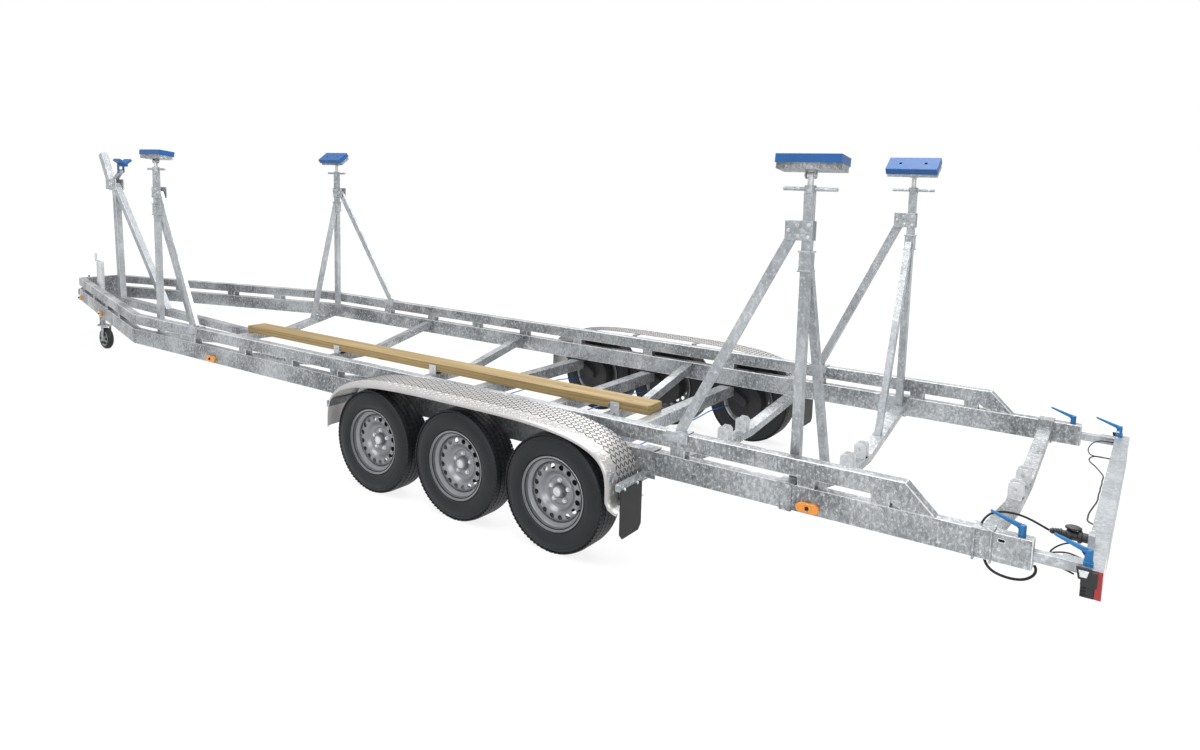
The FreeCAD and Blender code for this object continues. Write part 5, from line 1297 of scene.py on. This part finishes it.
PLUG_RINGS = (                              # share of the way along the plug, radius, half width
    (0.10, 0.0125, 0.004), (0.17, 0.0140, 0.004), (0.24, 0.0155, 0.004), (0.31, 0.0170, 0.004),
    (0.52, 0.0235, 0.010), (0.80, 0.0255, 0.008),
)
RING_STEPS = ((-1, 0.86), (-0.6, 1.0), (0.6, 1.0), (1, 0.86))               # share of half width, of radius
CAP_STEPS = ((-0.004, 0.80), (-0.002, 1.0), (0.004, 1.0), (0.008, 0.75))    # height, share of the cap's size
CAP_PLACE = (0.62, 0.030)                   # share of the way along the plug, height over its axis
CAP_HALVES = (0.024, 0.030)                 # across and along the plug


def marker_faces():
    """Centre and outward direction of each marker lamp's lens."""
    work = node_mesh("marker_lamps")
    work.verts.index_update()
    found, seen = [], set()
    for vertex in work.verts:
        if vertex.index in seen:
            continue
        island, queue = [], [vertex]
        seen.add(vertex.index)
        while queue:
            current = queue.pop()
            island.append(current)
            for edge in current.link_edges:
                other = edge.other_vert(current)
                if other.index not in seen:
                    seen.add(other.index)
                    queue.append(other)
        faces = {face for point in island for face in point.link_faces}
        side = math.copysign(1.0, sum(point.co.y for point in island))
        face = max(faces, key=lambda candidate: candidate.calc_area() * (candidate.normal.y * side > 0.5))
        found.append((face.calc_center_median(), face.normal.copy()))
    work.free()
    return found


class TRAILER_OT_lamps(bpy.types.Operator):
    """Dress the tail lamps, the side markers, the levers and the flaps"""
    bl_idname = "trailer.lamps"
    bl_label = "Lamps and levers"

    def execute(self, context):
        for node, finish, width, segments in LAMP_PIECES:
            dressed(node, finish, width, segments)
        self.flaps()
        dressed("plug", "black", 0.001)
        self.marker_cores()
        self.side_lamps()
        self.plug_trim()
        return {"FINISHED"}

    def flaps(self):
        """Flaps on the guards' rear arms, longer, further back and further out than their solids."""
        flap_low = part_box("mud_flaps")[0].z
        flaps = dressed("mud_flaps", "rubber", 0.0015)
        for vertex in flaps.data.vertices:
            vertex.co.z = FLAP_LOW + (vertex.co.z - flap_low) * FLAP_STRETCH
            vertex.co += Vector((-FLAP_BACK, math.copysign(FLAP_ASIDE, vertex.co.y), 0))

    def marker_cores(self):
        """Dark reflector seen in the middle of each amber marker."""
        spots = [(middle + outward * 0.0005, outward, 0) for middle, outward in marker_faces()]
        scattered("marker_cores", "bolts", spots, "drum", "chassis", head_radius=0.0075, reach=0.003)

    def side_lamps(self):
        """Clear side lamp in a raised black rim on each lamp housing's end, ribs below it."""
        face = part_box("tail_lamps")[1].y
        x, z = SIDE_LAMP
        for name, finish, width, height, start, end in SIDE_LAMP_PARTS:
            work = bmesh.new()
            for way in (1, -1):
                loft(work, [[Vector((x + dx * width * share, (face + depth) * way, z + dz * height * share))
                             for dx, dz in SIDE_LAMP_CORNERS]
                            for depth, share in ((start, 1.0), (end - 0.0015, 1.0), (end, 0.92))])
            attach(add_object(name, work, finish, 30), "light_board")
        ribs = bmesh.new()
        for way in (1, -1):
            near, far = sorted((face - depth) * way for depth in RIB_FACES)
            for drop in (RIB_PITCH * i for i in range(LAMP_RIBS)):
                block(ribs, (x - 0.010, near, z - 0.050 - drop), (x + 0.006, far, z - 0.044 - drop))
        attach(add_object("lamp_ribs", ribs, "rubber", 30), "light_board")

    def plug_trim(self):
        """Grip rings on the coupler, its collar and its sprung cap."""
        start, end = PLUG_AXIS
        along = (end - start).normalized()
        across = along.cross(Vector((0, 0, 1))).normalized()
        upward = across.cross(along)
        work = bmesh.new()
        for share, radius, width in PLUG_RINGS:
            middle = start.lerp(end, share)
            loft(work, [[middle + along * width * step + (across * a + upward * b) * radius * size
                         for a, b in circle(24)] for step, size in RING_STEPS])
        hinge = start.lerp(end, CAP_PLACE[0]) + upward * CAP_PLACE[1]
        loft(work, [[hinge + upward * height + (across * a * CAP_HALVES[0] + along * b * CAP_HALVES[1]) * size
                     for a, b in circle(28)] for height, size in CAP_STEPS])
        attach(add_object("plug_trim", work, "black", 40), "light_board")


# Cables: routes in millimetres from the middle axle

ROUTES = {
    "cable_lever": (
        (-2964, 868, 500), (-2950, 868, 522), (-2928, 868, 537), (-2898, 869, 531), (-2865, 871, 508),
        (-2846, 873, 484), (-2850, 876, 480), (-2867, 877, 488), (-2901, 878, 497), (-2930, 880, 495),
        (-2964, 884, 487),
    ),
    "cable_far": (
        (-2964, -905, 500), (-2930, -902, 501), (-2899, -891, 501), (-2872, -840, 500), (-2858, -740, 500),
        (-2858, -650, 499), (-2875, -564, 500), (-2922, -548, 501), (-2964, -562, 500),
    ),
    "cable_main": (
        (-2606, 957, 563.8), (-2611, 948, 580), (-2632, 930, 604), (-2664, 907, 612), (-2699, 884, 608),
        (-2734, 861, 598), (-2768, 838, 581), (-2800, 813, 559), (-2828.5, 791, 539),
    ),
    "cable_loop": (
        (-2626, 970, 433), (-2634, 972, 408), (-2660, 971, 385), (-2697, 968, 374), (-2740, 970, 374),
        (-2778, 972, 385), (-2806, 971, 408), (-2815, 969, 436), (-2806, 970, 450),
    ),
    "cable_lamp": (
        (-2812, 958, 467), (-2836, 955, 463), (-2868, 951, 465), (-2900, 949, 459), (-2939, 950, 447),
    ),
    "cable_bar": (
        (-2966.2, -569, 496), (-2930, -564, 500), (-2893, -545, 503), (-2878, -508, 501), (-2877, -462, 499),
        (-2891, -415, 500), (-2912, -366, 502), (-2933, -310, 499), (-2951, -256, 498), (-2960, -200, 501),
        (-2957, -142, 503), (-2960, -84, 500), (-2957, -26, 498), (-2960, 32, 501), (-2957, 90, 503),
        (-2960, 148, 500), (-2957, 206, 498), (-2952, 262, 501), (-2947, 318, 503), (-2940, 374, 500),
        (-2940, 430, 497), (-2942, 482, 500), (-2963.9, 510, 503),
    ),
}
CABLE_RADII = {"cable_lever": 0.0032, "cable_far": 0.0032, "brake_cable": 0.004, "cable_main": 0.0045,
               "cable_loop": 0.0055, "cable_lamp": 0.0035, "cable_bar": 0.0035}
CABLE_SIDES = 12
BRAKE_ROUTE = (             # half of it, in metres from the wheel's middle, then mirrored
    (0.118, 1.031, 0.262), (0.11, 0.90, 0.275), (0.06, 0.62, 0.325), (0.0, 0.30, 0.348),
)


def route_points(node):
    """A route's control points in metres."""
    return [Vector((MID_X + x / 1000, y / 1000, z / 1000)) for x, y, z in ROUTES[node]]


def brake_route(word):
    """Across the frame, below its beams, from one brake backplate to the other."""
    wheel = middle_of(f"tyre_left_{word}").x
    near = [Vector((wheel + x, y, z)) for x, y, z in BRAKE_ROUTE]
    return near + [Vector((point.x, -point.y, point.z)) for point in reversed(near)]


def route_curve(name, points, radius):
    """Round lead along the NURBS line of these control points."""
    data = bpy.data.curves.new(name, "CURVE")
    data.dimensions = "3D"
    data.resolution_u = 8
    data.bevel_depth = radius
    data.bevel_resolution = 4
    data.use_fill_caps = True
    spline = data.splines.new("NURBS")
    spline.points.add(len(points) - 1)
    for point, place in zip(spline.points, points):
        point.co = (*place, 1)
    spline.order_u = 3
    spline.use_endpoint_u = True
    return placed(name, data)


def line_of(points):
    """Points along the route's own NURBS line."""
    bare = route_curve("line", points, 0.0)
    mesh = evaluated_mesh(bare)
    line = [vertex.co.copy() for vertex in mesh.vertices]
    bpy.data.objects.remove(bare)
    bpy.data.meshes.remove(mesh)
    return line


def length_of(line):
    """Length of a line of points."""
    return sum((b - a).length for a, b in zip(line, line[1:]))


def tube(work, line, radius):
    """Round tube along a line of points."""
    ahead = (line[1] - line[0]).normalized()
    across = ahead.orthogonal().normalized()
    sections = []
    for i, place in enumerate(line):
        run = (line[min(i + 1, len(line) - 1)] - line[max(i - 1, 0)]).normalized()
        across = (across - run * across.dot(run)).normalized()
        other = run.cross(across)
        sections.append([place + (across * a + other * b) * radius for a, b in circle(CABLE_SIDES)])
    loft(work, sections)


class TRAILER_OT_cables(bpy.types.Operator):
    """Run the lamp leads, the main cable to its parked plug and the blue brake cables"""
    bl_idname = "trailer.cables"
    bl_label = "Cables"

    def execute(self, context):
        for node in ("cable_loop", "cable_lamp", "cable_bar"):
            body = NODES[node]["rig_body"]
            self.lead(node + "_lead", route_points(node), CABLE_RADII[node], "lead", body, node)
        self.main_cable()
        for name in ("cable_lever", "cable_far"):
            self.lead(name + "_lead", route_points(name), CABLE_RADII[name], "lead", "light_board")
        for word in WHEELS:
            radius = CABLE_RADII["brake_cable"]
            self.lead("brake_cable_" + word, brake_route(word), radius, "cable_blue", "chassis")
        return {"FINISHED"}

    def lead(self, name, points, radius, finish, body, node=None):
        """A lead on one body, in place of its CAD node if it has one."""
        made = route_curve(name, points, radius)
        made.data.materials.append(finish_named(finish))
        if node:
            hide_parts(node)
        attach(made, body)
        length_of(line_of(points))

    def main_cable(self):
        """The arch from the rail to the plug, as a tube along its route in place of its CAD node."""
        points = route_points("cable_main")
        line = line_of(points)
        work = bmesh.new()
        tube(work, line, CABLE_RADII["cable_main"])
        made = add_object("cable_main_lead", work, "lead", 60)
        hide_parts("cable_main")
        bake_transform(made)


# Panel, registration and the run itself

class TRAILER_PT_panel(bpy.types.Panel):
    """Lists the trailer's pieces and its sizes"""
    bl_label = "Boat trailer"
    bl_idname = "TRAILER_PT_panel"
    bl_space_type = "VIEW_3D"
    bl_region_type = "UI"
    bl_category = "Trailer"

    def draw(self, context):
        for name in TrailerSettings.__annotations__:
            self.layout.prop(context.scene.trailer_settings, name)
        for operator in OPERATORS:
            self.layout.operator(operator.bl_idname)


OPERATORS = (TRAILER_OT_stage, TRAILER_OT_lamps, TRAILER_OT_cables, TRAILER_OT_frame, TRAILER_OT_stands,
             TRAILER_OT_wheels, TRAILER_OT_mudguards, TRAILER_OT_plank, TRAILER_OT_nose)
CLASSES = (TrailerSettings,) + OPERATORS + (TRAILER_PT_panel,)


def register():
    """Register the classes and the scene's settings."""
    for item in CLASSES:
        bpy.utils.register_class(item)
    bpy.types.Scene.trailer_settings = PointerProperty(type=TrailerSettings)


def unregister():
    """Take the classes and the settings away again."""
    del bpy.types.Scene.trailer_settings
    for item in reversed(CLASSES):
        bpy.utils.unregister_class(item)


def main():
    register()
    for operator in OPERATORS:
        group, name = operator.bl_idname.split(".")
        result = getattr(getattr(bpy.ops, group), name)()
        if "FINISHED" not in result:
            raise RuntimeError(f"{operator.bl_idname} did not finish")


if __name__ == "__main__":
    main()
